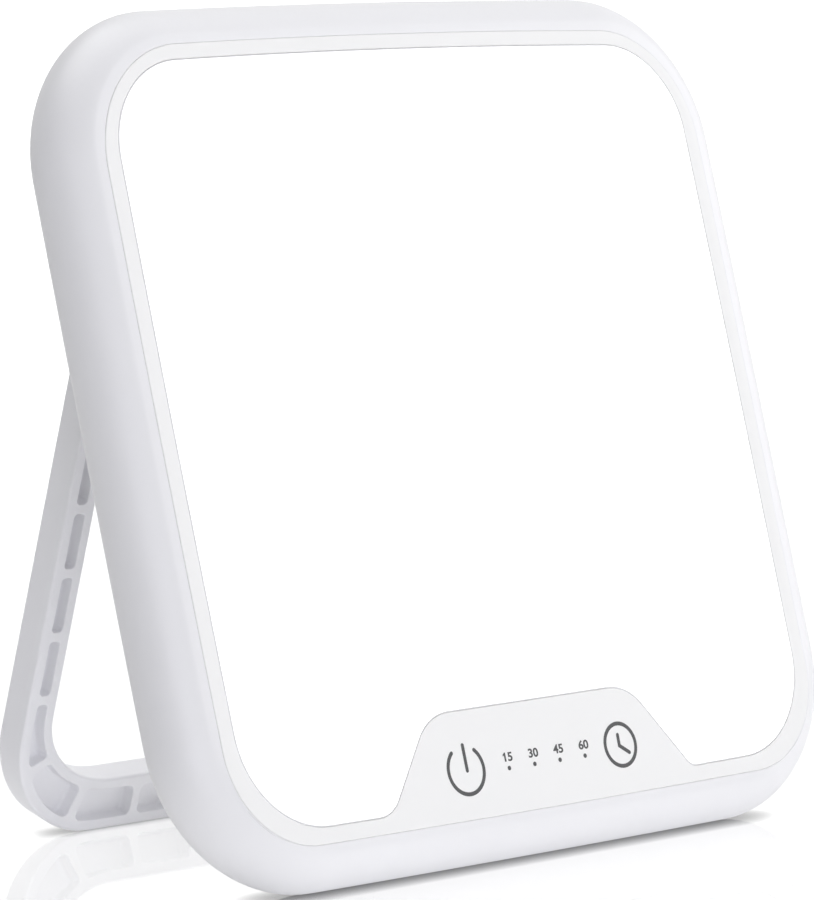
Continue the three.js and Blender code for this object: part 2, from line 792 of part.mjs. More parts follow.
// Pan-head screw that points to the front, with the underside of its head at y = 0
function screwGeometry() {
  const profile = [
    new THREE.Vector2(0, -screwLength),
    new THREE.Vector2(screwRadius / 2, -screwLength),
    new THREE.Vector2(screwRadius, screwRadius - screwLength),
    new THREE.Vector2(screwRadius, 0),
    new THREE.Vector2(screwHeadRadius, 0),
    new THREE.Vector2(screwHeadRadius, screwHeadHeight / 2),
    new THREE.Vector2(screwHeadRadius - screwHeadHeight / 2, screwHeadHeight),
    new THREE.Vector2(0, screwHeadHeight),
  ];
  const reach = screwHeadRadius * recessReachShare;
  const half = screwHeadRadius * recessWidthShare;
  const floor = screwHeadHeight * recessFloorShare;
  const recess = [[reach, half], [half, reach]].map(([x, z]) => block(
    new THREE.Vector3(-x, floor, -z),
    new THREE.Vector3(x, screwHeadHeight + overrun, z),
  ));
  return cut(new THREE.LatheGeometry(profile, smallSides), ...recess);
}

// Screws of one kind. Those that point to the back are turned over.
function screws(name, places, headDepth, pointsBack) {
  const geometry = screwGeometry();
  return places.map(([x, z], k) => {
    const screw = piece(`${name}_${k + 1}`, geometry, finishes.steel);
    screw.position.set(x, headDepth, z);
    screw.rotation.x = pointsBack ? Math.PI : 0;
    return screw;
  });
}

function allScrews() {
  const sides = [-1, 1];
  const controlPlaces = sides.map((side) => [side * controlPostX, controlPostZ]);
  const driverPlaces = sides.map((side) => [side * driverPostX, driverPostZ]);
  return [
    ...screws('cover_screw', coverScrewPlaces(), backDepth - screwSink + seat, false),
    ...screws('led_board_screw', ledScrewPlaces(), ledBoardFront - seat, true),
    ...screws('control_board_screw', controlPlaces, controlBoardBack + seat, false),
    ...screws('driver_board_screw', driverPlaces, driverBoardFront - seat, true),
  ];
}

// Brass insert, shoulder screw and washer of one end of the hinge, all held by the head
function hingeHardware(side, word) {
  const insertEnd = lugOutside - insertLength;
  const threadEnd = insertEnd + seat;
  const headInside = standHalfWidth - pivotHeadSink + seat;
  const insert = cut(
    axle(insertRadius, side * lugOutside, side * insertEnd),
    axle(pivotThreadRadius + seat / 2, side * (lugOutside + overrun), side * (insertEnd - overrun)),
  );
  const headOutside = headInside + pivotHeadThickness;
  const screw = join(
    axle(pivotThreadRadius, side * threadEnd, side * headInside),
    axle(pivotRadius, side * lugOutside, side * (headInside + headOutside) / 2),
    axle(pivotHeadRadius, side * headInside, side * headOutside),
  );
  const washer = cut(
    axle(washerRadius, side * (lugOutside + seat), side * (armInside - seat)),
    axle(pivotBore, side * lugOutside, side * armInside),
  );
  return [
    piece(`hinge_insert_${word}`, insert, finishes.brass),
    piece(`pivot_screw_${word}`, screw, finishes.steel),
    piece(`friction_washer_${word}`, washer, finishes.nylon),
  ];
}

// The stand's outer and inner edge at a run along it from the middle of the bar, both moved into
// the material by an inset. The foot is at z = 0, and negative runs lie on the left.
function standEdges(station, inset = 0) {
  const side = new THREE.Vector2(station < 0 ? -1 : 1, 1);
  const run = Math.abs(station);
  const innerFoot = barHeight + innerCornerHeight;
  let outer;
  let inner;
  if (run < barRun) {
    outer = new THREE.Vector2(outerBar * run / barRun, inset);
    inner = new THREE.Vector2(innerBar * run / barRun, barHeight - inset);
  } else if (run < barRun + cornerRun) {
    const angle = (run - barRun) / cornerRun * (Math.PI / 2);
    const turn = new THREE.Vector2(Math.sin(angle), -Math.cos(angle));
    const innerReach = new THREE.Vector2(innerCornerWidth + inset, innerCornerHeight + inset);
    outer = turn.clone().multiplyScalar(outerCorner - inset).add(new THREE.Vector2(outerBar, outerCorner));
    inner = turn.clone().multiply(innerReach).add(new THREE.Vector2(innerBar, innerFoot));
  } else {
    const climb = run - barRun - cornerRun;
    outer = new THREE.Vector2(standHalfWidth - inset, outerCorner + climb);
    inner = new THREE.Vector2(armInside + inset, innerFoot + climb);
  }
  return { outer: outer.multiply(side), inner: inner.multiply(side) };
}

function standMiddle(station) {
  const { outer, inner } = standEdges(station);
  return outer.lerp(inner, 0.5);
}

// The U outline of the stand, moved into the material by an inset, with its arms up to a height
function standOutline(top, inset = 0) {
  const runs = spread(barRun, barRun + cornerRun, cornerSteps);
  const edges = [...runs.map((run) => -run).reverse(), ...runs].map((run) => standEdges(run, inset));
  return [
    new THREE.Vector2(inset - standHalfWidth, top),
    ...edges.map(({ outer }) => outer),
    new THREE.Vector2(standHalfWidth - inset, top),
    new THREE.Vector2(armInside + inset, top),
    ...edges.map(({ inner }) => inner).reverse(),
    new THREE.Vector2(-armInside - inset, top),
  ];
}

// Where the ribs cross the stand, from the middle of the bar to the top of one arm
function ribStations() {
  const bar = spread(0, barRibs * barRibPitch, barRibs);
  const corner = bar[barRibs] + cornerRibPitch;
  const stations = [...bar, corner];
  const top = standLength - solidArmEnd;
  for (let station = corner + cornerRibPitch; standMiddle(station).y < top; station += armRibPitch) {
    stations.push(station);
  }
  return stations;
}

// Rib that crosses the channel square to the middle line of the stand
function rib(station) {
  const ahead = standMiddle(station + ribWidth / 2).sub(standMiddle(station - ribWidth / 2));
  const middle = standMiddle(station);
  const geometry = new THREE.BoxGeometry(ribWidth, pocketDepth + 2 * overrun, barHeight);
  const depth = (pocketDepth - armThickness) / 2;
  return geometry.rotateY(-ahead.angle()).translate(middle.x, depth, middle.y);
}

// Row of pockets in the front of the stand: one long channel, less the ribs
function pockets() {
  const stations = ribStations();
  const top = standMiddle(stations[stations.length - 1]).y;
  const front = -armThickness / 2;
  const channel = slab(standOutline(top, pocketWall), front - overrun, front + pocketDepth);
  const ribs = stations.flatMap((station) => [rib(station), rib(-station)]);
  return cut(channel, ...ribs);
}

// The side view of the stand: its ends are round on the front, and their square heel on the
// rear meets the lamp's back when the stand is opened a little past a right angle.
function standSideView() {
  const half = armThickness / 2;
  const heel = half + hingeClearance - seat;
  const points = [
    new THREE.Vector2(half + overrun, -standLength - overrun),
    new THREE.Vector2(half + overrun, heel),
    ...arc(new THREE.Vector2(), heel, Math.PI / 2, Math.PI, filletSteps * 2),
    new THREE.Vector2(-half - overrun, -armThickness),
    new THREE.Vector2(-half - overrun, -standLength - overrun),
  ];
  const width = 2 * (standHalfWidth + overrun);
  const shape = new THREE.Shape(points);
  const geometry = new THREE.ExtrudeGeometry(shape, { depth: width, bevelEnabled: false });
  const swapAxes = new THREE.Matrix4().makeBasis(
    new THREE.Vector3(0, 1, 0),
    new THREE.Vector3(0, 0, 1),
    new THREE.Vector3(1, 0, 0),
  );
  return geometry.applyMatrix4(swapAxes).translate(-width / 2, 0, 0);
}

// U-shaped stand, cored from the front, with an eye at the top of each arm
function standBracket() {
  const shape = new THREE.Shape(standOutline(standLength + armThickness));
  const blank = new THREE.ExtrudeGeometry(shape, {
    depth: armThickness - 2 * standEdge,
    bevelThickness: standEdge,
    bevelSize: standEdge,
    bevelOffset: -standEdge,
    bevelSegments: 1,
  });
  blank.rotateX(Math.PI / 2).translate(0, armThickness / 2 - standEdge, -standLength);
  const hollow = pockets().translate(0, 0, -standLength);
  const bores = [-1, 1].flatMap((side) => [
    axle(pivotBore, side * (armInside - overrun), side * (standHalfWidth + overrun)),
    axle(pivotHeadBore, side * (standHalfWidth - pivotHeadSink), side * (standHalfWidth + overrun)),
  ]);
  return piece('stand_bracket', cut(overlapOf(blank, standSideView()), hollow, ...bores), finishes.shell);
}

function pivotCap(side, word) {
  const inside = standHalfWidth - pivotCapThickness;
  const geometry = axle(pivotHeadRadius, side * inside, side * standHalfWidth);
  return piece(`pivot_cap_${word}`, geometry, finishes.shell);
}

function buildHead() {
  const head = new THREE.Group();
  head.add(
    frontShell(),
    rearCover(),
    diffuserLens(),
    frontTrim(),
    diffuserFilm(),
    reflectorTray(),
    lightBaffle(),
    ledBoard(),
    controlBoard(),
    driverBoard(),
    pinHeader(),
    ledLead(),
    dcJack(),
    touchPad('touch_pad_power', powerIconX),
    touchPad('touch_pad_timer', timerIconX),
    ...indicators(),
    ...allScrews(),
  );
  const hinge = new THREE.Group();
  hinge.add(...hingeHardware(-1, 'left'), ...hingeHardware(1, 'right'));
  hinge.position.set(0, hingeDepth, hingeHeight);
  head.add(hinge);
  head.rotation.x = -THREE.MathUtils.degToRad(headLean);
  return head;
}

function buildStand() {
  const stand = new THREE.Group();
  stand.add(standBracket(), pivotCap(-1, 'left'), pivotCap(1, 'right'));
  const hinge = new THREE.Vector3(0, hingeDepth, hingeHeight);
  hinge.applyAxisAngle(new THREE.Vector3(1, 0, 0), -THREE.MathUtils.degToRad(headLean));
  stand.position.copy(hinge);
  stand.rotation.x = THREE.MathUtils.degToRad(standLean);
  return stand;
}

// Stands the lamp on the ground with the middle of its footprint at the origin.
function buildLamp() {
  const lamp = new THREE.Group();
  lamp.add(buildHead(), buildStand());
  lamp.updateMatrixWorld(true);
  const box = new THREE.Box3().setFromObject(lamp, true);
  const middle = box.getCenter(new THREE.Vector3());
  lamp.position.set(-middle.x, -middle.y, -box.min.z);
  return lamp;
}

export default buildLamp();
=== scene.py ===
"""A light therapy lamp on its folding stand, dressed for a studio picture.

Shapes are drawn in millimetres and upright, each body in a frame of its own: x runs to the right, y into
the depth and z up. The head's origin is the middle of the lit window, on the face of the lens. The stand's
origin is the hinge axis, with the arms hanging down. Placing a piece turns it into metres in the frame
that the whole lamp shares.
"""

from __future__ import annotations

import functools
import json
import logging
import math
from dataclasses import dataclass, field
from enum import Enum
from typing import Sequence

import bmesh
import bpy
from mathutils import Matrix, Vector


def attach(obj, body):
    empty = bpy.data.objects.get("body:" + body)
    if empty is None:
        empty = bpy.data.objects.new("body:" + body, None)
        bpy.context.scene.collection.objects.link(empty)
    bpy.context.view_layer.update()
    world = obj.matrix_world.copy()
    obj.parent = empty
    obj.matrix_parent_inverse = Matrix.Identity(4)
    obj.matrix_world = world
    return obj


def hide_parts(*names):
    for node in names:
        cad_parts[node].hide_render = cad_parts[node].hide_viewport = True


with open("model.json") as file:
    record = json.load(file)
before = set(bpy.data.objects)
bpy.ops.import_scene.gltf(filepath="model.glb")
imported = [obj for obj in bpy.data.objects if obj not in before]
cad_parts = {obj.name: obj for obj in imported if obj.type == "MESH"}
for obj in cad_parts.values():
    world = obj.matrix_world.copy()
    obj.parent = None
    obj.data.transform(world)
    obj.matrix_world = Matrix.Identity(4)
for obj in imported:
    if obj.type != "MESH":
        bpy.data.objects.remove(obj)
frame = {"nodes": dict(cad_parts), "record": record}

# Lengths: a millimetre in metres, how far a cutting tool runs past its solid, and what is welded.
MM = 0.001
OVERRUN = 1.0
WELD = 1e-4

# Angles, in radians.
QUARTER = math.pi / 2
HALF = math.pi
TURN = 2 * math.pi

Point = tuple[float, float]
Row = list[Vector]
Shape = bmesh.types.BMesh
Loop = list[bmesh.types.BMVert]
Socket = bpy.types.NodeSocket
Colour = tuple[float, float, float, float]

log = logging.getLogger("lamp")


class Body(Enum):
    """The two bodies that the hinge joins."""

    HEAD = "lamp_head"
    STAND = "stand"


class Side(Enum):
    """Left and right, as a person who faces the lamp sees them."""

    LEFT = -1
    RIGHT = 1


class Slot(Enum):
    """Material slots of the record."""

    HOUSING = "white_housing"
    TRIM = "white_trim"
    LENS = "opal_lens"
    FILM = "diffuser_film"
    REFLECTOR = "reflector_white"
    LED_BOARD = "led_board"
    CIRCUIT = "circuit_board"
    BLACK = "black_plastic"
    FOAM = "conductive_foam"
    CLEAR = "clear_led"
    STEEL = "screw_steel"
    BRASS = "insert_brass"
    NYLON = "washer_nylon"


class Join(Enum):
    """Ways to combine two solids."""

    ADD = "UNION"
    CUT = "DIFFERENCE"
    KEEP = "INTERSECT"


def spread(first: float, last: float, steps: int) -> list[float]:
    """Gives equal steps from one value to another.

    Args:
        first: The first value.
        last: The last value.
        steps: How many steps lie between them.

    Returns:
        One value more than there are steps.
    """
    return [first + (last - first) * k / steps for k in range(steps + 1)]


def arc(centre: Point, radius: float, start: float, end: float, steps: int) -> list[Point]:
    """Gives points along an arc.

    Args:
        centre: The arc's centre.
        radius: Its radius.
        start: The angle of its first point, in radians.
        end: The angle of its last point, in radians.
        steps: How many steps lie between them.

    Returns:
        The points, the two ends included.
    """
    turns = spread(start, end, steps)
    return [(centre[0] + radius * math.cos(a), centre[1] + radius * math.sin(a)) for a in turns]


def edge_round(radius: float, steps: int = 4) -> list[Point]:
    """Gives a rounded edge as pairs of inset and depth, from the side wall to the face.

    Args:
        radius: The edge's radius.
        steps: How many steps the quarter circle has.

    Returns:
        Pairs from (0, radius) to (radius, 0).
    """
    return [(radius * (1 - math.cos(a)), radius * (1 - math.sin(a))) for a in spread(0, QUARTER, steps)]


def skin(shape: Shape, rows: Sequence[Row], closed: bool = False) -> list[Loop]:
    """Joins rows of points that each go once round a shape.

    Args:
        shape: The mesh that the faces go into.
        rows: The rows, all of the same length.
        closed: Whether the last row joins the first.

    Returns:
        The vertices of each row.
    """
    loops = [[shape.verts.new(point) for point in row] for row in rows]
    pairs = list(zip(loops, loops[1:]))
    if closed:
        pairs.append((loops[-1], loops[0]))
    for near, far in pairs:
        for k in range(len(near)):
            shape.faces.new((near[k - 1], near[k], far[k], far[k - 1]))
    return loops


def fill(shape: Shape, loops: Sequence[Loop]) -> None:
    """Closes a flat face between an outer loop and the loops of its holes.

    Args:
        shape: The mesh that holds the loops.
        loops: Vertices of the outer loop and of each hole.
    """
    edges = [shape.edges.get((loop[k - 1], loop[k])) for loop in loops for k in range(len(loop))]
    bmesh.ops.triangle_fill(shape, use_beauty=True, use_dissolve=False, edges=edges)


def cap(shape: Shape, loops: Sequence[Loop]) -> None:
    """Closes both ends of a skin with one face each.

    Args:
        shape: The mesh that holds the loops.
        loops: The skin's loops in order.
    """
    for loop in (loops[0], loops[-1]):
        shape.faces.new(loop)


def turned(profile: Sequence[Point], sides: int = 64, closed: bool = False) -> Shape:
    """Turns a profile round the y axis.

    Args:
        profile: Pairs of radius and place along the axis.
        sides: How many sides the round shape has.
        closed: Whether the profile goes round a hollow and meets itself.

    Returns:
        The closed shape. An open profile gets a flat cap at each end.
    """
    shape = bmesh.new()
    rows = [
        [Vector((radius * math.cos(a), along, radius * math.sin(a))) for a in spread(0, TURN, sides)[:-1]]
        for radius, along in profile
    ]
    loops = skin(shape, rows, closed)
    if not closed:
        cap(shape, loops)
    return shape


def turned_at(place: Point, profile: Sequence[Point], sides: int = 40, closed: bool = False) -> Shape:
    """Turns a profile round an axis that runs into the depth at a place on the head.

    Args:
        place: Where the axis stands, in x and z.
        profile: Pairs of radius and depth.
        sides: How many sides the round shape has.
        closed: Whether the profile goes round a hollow and meets itself.

    Returns:
        The closed shape.
    """
    shape = turned(profile, sides, closed)
    bmesh.ops.translate(shape, verts=shape.verts, vec=(place[0], 0, place[1]))
    return shape


def rod(radius: float, near: float, far: float, place: Point, sides: int = 40) -> Shape:
    """Makes a round rod that runs into the depth at a place on the head.

    Args:
        radius: Its radius.
        near: Depth of its front end.
        far: Depth of its rear end.
        place: Where it stands, in x and z.
        sides: How many sides it has.

    Returns:
        The rod.
    """
    return turned_at(place, [(radius, near), (radius, far)], sides)


def turned_across(
    side: Side,
    profile: Sequence[Point],
    sides: int = 56,
    closed: bool = False,
    move: Matrix = Matrix.Identity(4),
) -> Shape:
    """Turns a profile round an axis that runs out to one side, as the hinge's does.

    Args:
        side: The side that the profile's places along the axis count toward.
        profile: Pairs of radius and place along the axis.
        sides: How many sides the round shape has.
        closed: Whether the profile goes round a hollow and meets itself.
        move: Where the finished shape goes.

    Returns:
        The closed shape.
    """
    shape = turned(profile, sides, closed)
    lie = Matrix.Rotation(-side.value * QUARTER, 4, "Z")
    bmesh.ops.transform(shape, matrix=move @ lie, verts=shape.verts)
    return shape


def mirrored(place: Point) -> list[Point]:
    """Gives a place on the head and its mirror image, the left one first."""
    return [(-place[0], place[1]), place]


def prism(outline: Sequence[Point], low: float, high: float, axis: Matrix = Matrix.Identity(4)) -> Shape:
    """Extrudes an outline that lies in x and z along the y axis.

    Args:
        outline: Points once round.
        low: Where it starts along y.
        high: Where it ends along y.
        axis: How the finished prism is turned.

    Returns:
        The closed prism.
    """
    shape = bmesh.new()
    cap(shape, skin(shape, [[Vector((x, y, z)) for x, z in outline] for y in (low, high)]))
    bmesh.ops.transform(shape, matrix=axis, verts=shape.verts)
    return shape


@dataclass(frozen=True)
class Upright:
    """The upright frame in which one body is drawn.

    Attributes:
        origin: Where its origin lies in the lamp's frame, in millimetres.
        lean: Turn about the x axis that brings it to rest, in radians.
    """

    origin: Vector
    lean: float

    def matrix(self) -> Matrix:
        """Gives the matrix from millimetres in this frame to metres in the lamp's."""
        return Matrix.Scale(MM, 4) @ Matrix.Translation(self.origin) @ Matrix.Rotation(self.lean, 4, "X")

    @classmethod
    def of_head(cls, back_depth: float) -> Upright:
        """Reads the head's frame off the flat back of the lamp.

        Args:
            back_depth: Depth of the back behind the face of the lens.

        Returns:
            The head's upright frame.
        """
        mount = next(m for m in frame["record"]["mounts"] if m["name"] == "back_face")
        facing = Vector(mount["axis"])
        origin = Vector(mount["pos_m"]) / MM - facing * back_depth
        return cls(origin, math.atan2(facing.z, facing.y))

    @classmethod
    def of_stand(cls) -> Upright:
        """Reads the stand's frame off the hinge and the flat rear of the stand.

        Returns:
            The frame.
        """
        record = frame["record"]
        mount = next(m for m in record["mounts"] if m["name"] == "stand_rear_face")
        hinge = next(j for j in record["behaviour"]["joints"] if j["name"] == "stand_hinge")
        facing = Vector(mount["axis"])
        return cls(Vector(hinge["pos_m"]) / MM, math.atan2(facing.z, facing.y))


class Graph:
    """Adds nodes to a node tree, each with its settings and links in one call."""

    def __init__(self, tree: bpy.types.NodeTree) -> None:
        """Wraps a tree."""
        self.tree = tree

    def feed(self, node: bpy.types.Node, inputs: dict) -> None:
        """Sets or links inputs of a node.

        Args:
            node: The node.
            inputs: Values or sockets for its inputs, by name or number.
        """
        for key, value in inputs.items():
            if isinstance(value, Socket):
                self.tree.links.new(value, node.inputs[key])
            else:
                node.inputs[key].default_value = value

    def add(self, kind: str, inputs: dict | None = None, **settings: object) -> bpy.types.Node:
        """Adds one node.

        Args:
            kind: The node's type.
            inputs: Values or sockets for its inputs, by name or number.
            **settings: The node's own settings.

        Returns:
            The new node.
        """
        node = self.tree.nodes.new(kind)
        for name, value in settings.items():
            setattr(node, name, value)
        self.feed(node, inputs or {})
        return node

    def group(self, tree: bpy.types.NodeTree, inputs: dict) -> bpy.types.bpy_prop_collection:
        """Places a node group.

        Args:
            tree: The group.
            inputs: Values or sockets for its inputs, by name.

        Returns:
            The outputs of the placed group.
        """
        return self.add("ShaderNodeGroup", inputs, node_tree=tree).outputs

    def math(self, operation: str, first: object, second: object = 0.0, clamp: bool = False) -> Socket:
        """Adds a math node.

        Args:
            operation: What it does.
            first: Its first value or socket.
            second: Its second value or socket.
            clamp: Whether the result is kept from 0 to 1.

        Returns:
            The result.
        """
        node = self.add("ShaderNodeMath", {0: first, 1: second}, operation=operation, use_clamp=clamp)
        return node.outputs[0]

    def blend(self, share: object, first: object, second: object, kind: str = "MIX") -> Socket:
        """Adds a mix of two colours.

        Args:
            share: How much of the second colour is used.
            first: The first colour or socket.
            second: The second colour or socket.
            kind: How they are mixed.

        Returns:
            The mixed colour.
        """
        node = self.add("ShaderNodeMix", {0: share, 6: first, 7: second}, data_type="RGBA", blend_type=kind)
        return node.outputs[2]

    def level(self, share: object, first: object, second: object) -> Socket:
        """Adds a mix of two numbers.

        Args:
            share: How much of the second number is used.
            first: The first number or socket.
            second: The second number or socket.

        Returns:
            The mixed number.
        """
        return self.add("ShaderNodeMix", {0: share, 2: first, 3: second}, data_type="FLOAT").outputs[0]

    def shade(self, colour: Socket, tone: Socket) -> Socket:
        """Multiplies a colour by a grey tone and gives the result."""
        grey = self.add("ShaderNodeCombineColor", {0: tone, 1: tone, 2: tone}).outputs[0]
        return self.blend(1.0, colour, grey, "MULTIPLY")

    def ramp(self, value: Socket, low: float, high: float) -> Socket:
        """Gives 0 below a low value and 1 above a high one, with a straight rise between them."""
        return self.add("ShaderNodeMapRange", {0: value, 1: low, 2: high}).outputs[0]

    def place(self) -> Socket:
        """Gives the place on the object, in metres."""
        return self.add("ShaderNodeTexCoord").outputs["Object"]

    def noise(self, scale: object, detail: float = 2.0) -> Socket:
        """Adds noise that is fixed to the object and gives its value."""
        inputs = {"Vector": self.place(), "Scale": scale, "Detail": detail}
        return self.add("ShaderNodeTexNoise", inputs).outputs[0]

    def swing(self, value: Socket, amount: object) -> Socket:
        """Gives how far a value lies from one half, times an amount."""
        return self.math("MULTIPLY", self.math("SUBTRACT", value, 0.5), amount)


@dataclass(frozen=True)
class GroupPlan:
    """Names and sockets of a node group that several materials share.

    Attributes:
        name: The group's name.
        numbers: Its number inputs, with their values.
        colours: Its colour inputs.
        number_results: Its number outputs.
        colour_results: Its colour outputs.
    """

    name: str
    numbers: dict[str, float] = field(default_factory=dict)
    colours: tuple[str, ...] = ()
    number_results: tuple[str, ...] = ()
    colour_results: tuple[str, ...] = ()

    def start(self) -> tuple[Graph, bpy.types.Node, bpy.types.Node]:
        """Makes the empty group.

        Returns:
            The group's graph, its input node and its output node.
        """
        tree = bpy.data.node_groups.new(self.name, "ShaderNodeTree")
        for label in self.colours:
            tree.interface.new_socket(label, in_out="INPUT", socket_type="NodeSocketColor")
        for label, value in self.numbers.items():
            socket = tree.interface.new_socket(label, in_out="INPUT", socket_type="NodeSocketFloat")
            socket.default_value = value
        for label in self.colour_results:
            tree.interface.new_socket(label, in_out="OUTPUT", socket_type="NodeSocketColor")
        for label in self.number_results:
            tree.interface.new_socket(label, in_out="OUTPUT", socket_type="NodeSocketFloat")
        graph = Graph(tree)
        return graph, graph.add("NodeGroupInput"), graph.add("NodeGroupOutput")


@functools.cache
def moulded_group() -> bpy.types.NodeTree:
    """Makes the surface of a moulded part: slow drift of tone, drift of gloss and a fine grain.

    Returns:
        The group.
    """
    plan = GroupPlan(
        "moulded_surface",
        {"Drift": 0.02, "Roughness": 0.4, "Gloss Drift": 0.08, "Grain Scale": 2400.0},
        ("Color",),
        ("Roughness", "Height"),
        ("Color",),
    )
    slow_scale, smear_scale = 14.0, 160.0
    graph, given, result = plan.start()
    tone = graph.math("ADD", graph.swing(graph.noise(slow_scale, 1.0), given.outputs["Drift"]), 1.0)
    colour = graph.shade(given.outputs["Color"], tone)
    drift = graph.swing(graph.noise(smear_scale, 3.0), given.outputs["Gloss Drift"])
    rough = graph.math("ADD", given.outputs["Roughness"], drift)
    grain = graph.noise(given.outputs["Grain Scale"])
    graph.feed(result, {"Color": colour, "Roughness": rough, "Height": grain})
    return graph.tree


@functools.cache
def wear_group() -> bpy.types.NodeTree:
    """Makes rubbed edges: a mask where the surface turns sharply, broken up by noise.

    Returns:
        The group.
    """
    plan = GroupPlan("rubbed_edges", {"Amount": 0.3}, ("Color", "Edge Color"), ("Mask",), ("Color",))
    first_sharp, full_sharp, break_scale = 0.52, 0.62, 420.0
    graph, given, result = plan.start()
    sharp = graph.add("ShaderNodeNewGeometry").outputs["Pointiness"]
    broken = graph.math("MULTIPLY", graph.ramp(sharp, first_sharp, full_sharp), graph.noise(break_scale, 3.0))
    mask = graph.math("MULTIPLY", broken, given.outputs["Amount"], clamp=True)
    colour = graph.blend(mask, given.outputs["Color"], given.outputs["Edge Color"])
    graph.feed(result, {"Color": colour, "Mask": mask})
    return graph.tree


@functools.cache
def dust_group() -> bpy.types.NodeTree:
    """Makes a thin veil of dust on what faces up.

    Returns:
        The group.
    """
    plan = GroupPlan("fine_dust", {"Amount": 0.05}, ("Color", "Dust Color"), ("Mask",), ("Color",))
    first_rise, full_rise = 0.3, 1.0
    speck_scale, first_speck, full_speck = 900.0, 0.45, 0.75
    graph, given, result = plan.start()
    facing = graph.add("ShaderNodeSeparateXYZ", {0: graph.add("ShaderNodeNewGeometry").outputs["Normal"]})
    lying = graph.ramp(facing.outputs[2], first_rise, full_rise)
    specks = graph.ramp(graph.noise(speck_scale, 4.0), first_speck, full_speck)
    mask = graph.math("MULTIPLY", graph.math("MULTIPLY", lying, specks), given.outputs["Amount"], clamp=True)
    colour = graph.blend(mask, given.outputs["Color"], given.outputs["Dust Color"])
    graph.feed(result, {"Color": colour, "Mask": mask})
    return graph.tree


@functools.cache
def turned_metal_group() -> bpy.types.NodeTree:
    """Makes the marks that a lathe or a die leaves: fine rings and a cloudy plating.

    Returns:
        The group.
    """
    plan = GroupPlan(
        "turned_metal",
        {"Roughness": 0.3, "Ring Scale": 3000.0},
        ("Color",),
        ("Roughness", "Height"),
        ("Color",),
    )
    cloud_scale, dark, light, gloss_drift = 700.0, 0.82, 1.08, 0.25
    graph, given, result = plan.start()
    ring_inputs = {"Vector": graph.place(), "Scale": given.outputs["Ring Scale"], "Distortion": 2.0}
    rings = graph.add("ShaderNodeTexWave", ring_inputs)
    cloud = graph.noise(cloud_scale, 3.0)
    tone = graph.add("ShaderNodeMapRange", {0: cloud, 3: dark, 4: light}).outputs[0]
    colour = graph.shade(given.outputs["Color"], tone)
    rough = graph.math("ADD", given.outputs["Roughness"], graph.swing(cloud, gloss_drift))
    graph.feed(result, {"Color": colour, "Roughness": rough, "Height": rings.outputs["Fac"]})
    return graph.tree


def start_material(name: str) -> tuple[Graph, bpy.types.Node]:
    """Makes an empty material.

    Args:
        name: The material's name.

    Returns:
        Its graph and its surface shader, linked to the output.
    """
    material = bpy.data.materials.new(name)
    material.use_nodes = True
    material.node_tree.nodes.clear()
    graph = Graph(material.node_tree)
    surface = graph.add("ShaderNodeBsdfPrincipled")
    graph.add("ShaderNodeOutputMaterial", {"Surface": surface.outputs[0]})
    return graph, surface


def relief(graph: Graph, height: Socket, depth: float) -> Socket:
    """Makes a normal that follows a height.

    Args:
        graph: The material's graph.
        height: Socket with the height, from 0 to 1.
        depth: How deep the relief is, in millimetres.

    Returns:
        The normal.
    """
    return graph.add("ShaderNodeBump", {"Strength": 1.0, "Distance": depth * MM, "Height": height}).outputs[0]


def lighter(colour: Colour, gain: float, lift: float = 0.0) -> Colour:
    """Gives a colour scaled by a gain and raised by a lift, up to white."""
    return tuple(min(1.0, part * gain + lift) for part in colour[:3]) + (1.0,)


@dataclass(frozen=True)
class Plastic:
    """Moulded plastic.

    Attributes:
        name: The material's name.
        slot: The record's slot. Not used.
        colour: Base colour, linear.
        roughness: Mean roughness.
        drift: How far the tone drifts.
        grain_scale: Grains per metre.
        grain_depth: Depth of the grain, in millimetres.
        wear: How much the edges are rubbed.
        dust: How much dust lies on top.
        worn_gain: How much brighter rubbed edges are.
        worn_lift: What is added to the brightness of rubbed edges.
        dust_colour: Colour of the dust, linear.
    """

    name: str
    slot: Slot
    colour: Colour
    roughness: float = 0.42
    drift: float = 0.02
    grain_scale: float = 2400.0
    grain_depth: float = 0.004
    wear: float = 0.25
    dust: float = 0.04
    worn_gain: float = 1.12
    worn_lift: float = 0.02
    dust_colour: Colour = (0.55, 0.53, 0.5, 1.0)

    @functools.cache
    def material(self) -> bpy.types.Material:
        """Builds the material once.

        Returns:
            The material.
        """
        graph, surface = start_material(self.name)
        base = graph.group(moulded_group(), {
            "Color": self.colour,
            "Drift": self.drift,
            "Roughness": self.roughness,
            "Grain Scale": self.grain_scale,
        })
        edge_colour = lighter(self.colour, self.worn_gain, self.worn_lift)
        worn_inputs = {"Color": base["Color"], "Edge Color": edge_colour, "Amount": self.wear}
        worn = graph.group(wear_group(), worn_inputs)
        dust_inputs = {"Color": worn["Color"], "Dust Color": self.dust_colour, "Amount": self.dust}
        dusty = graph.group(dust_group(), dust_inputs)
        graph.feed(surface, {
            "Base Color": dusty["Color"],
            "Roughness": graph.math("ADD", base["Roughness"], dusty["Mask"], clamp=True),
            "Normal": relief(graph, base["Height"], self.grain_depth),
        })
        return bpy.data.materials[self.name]


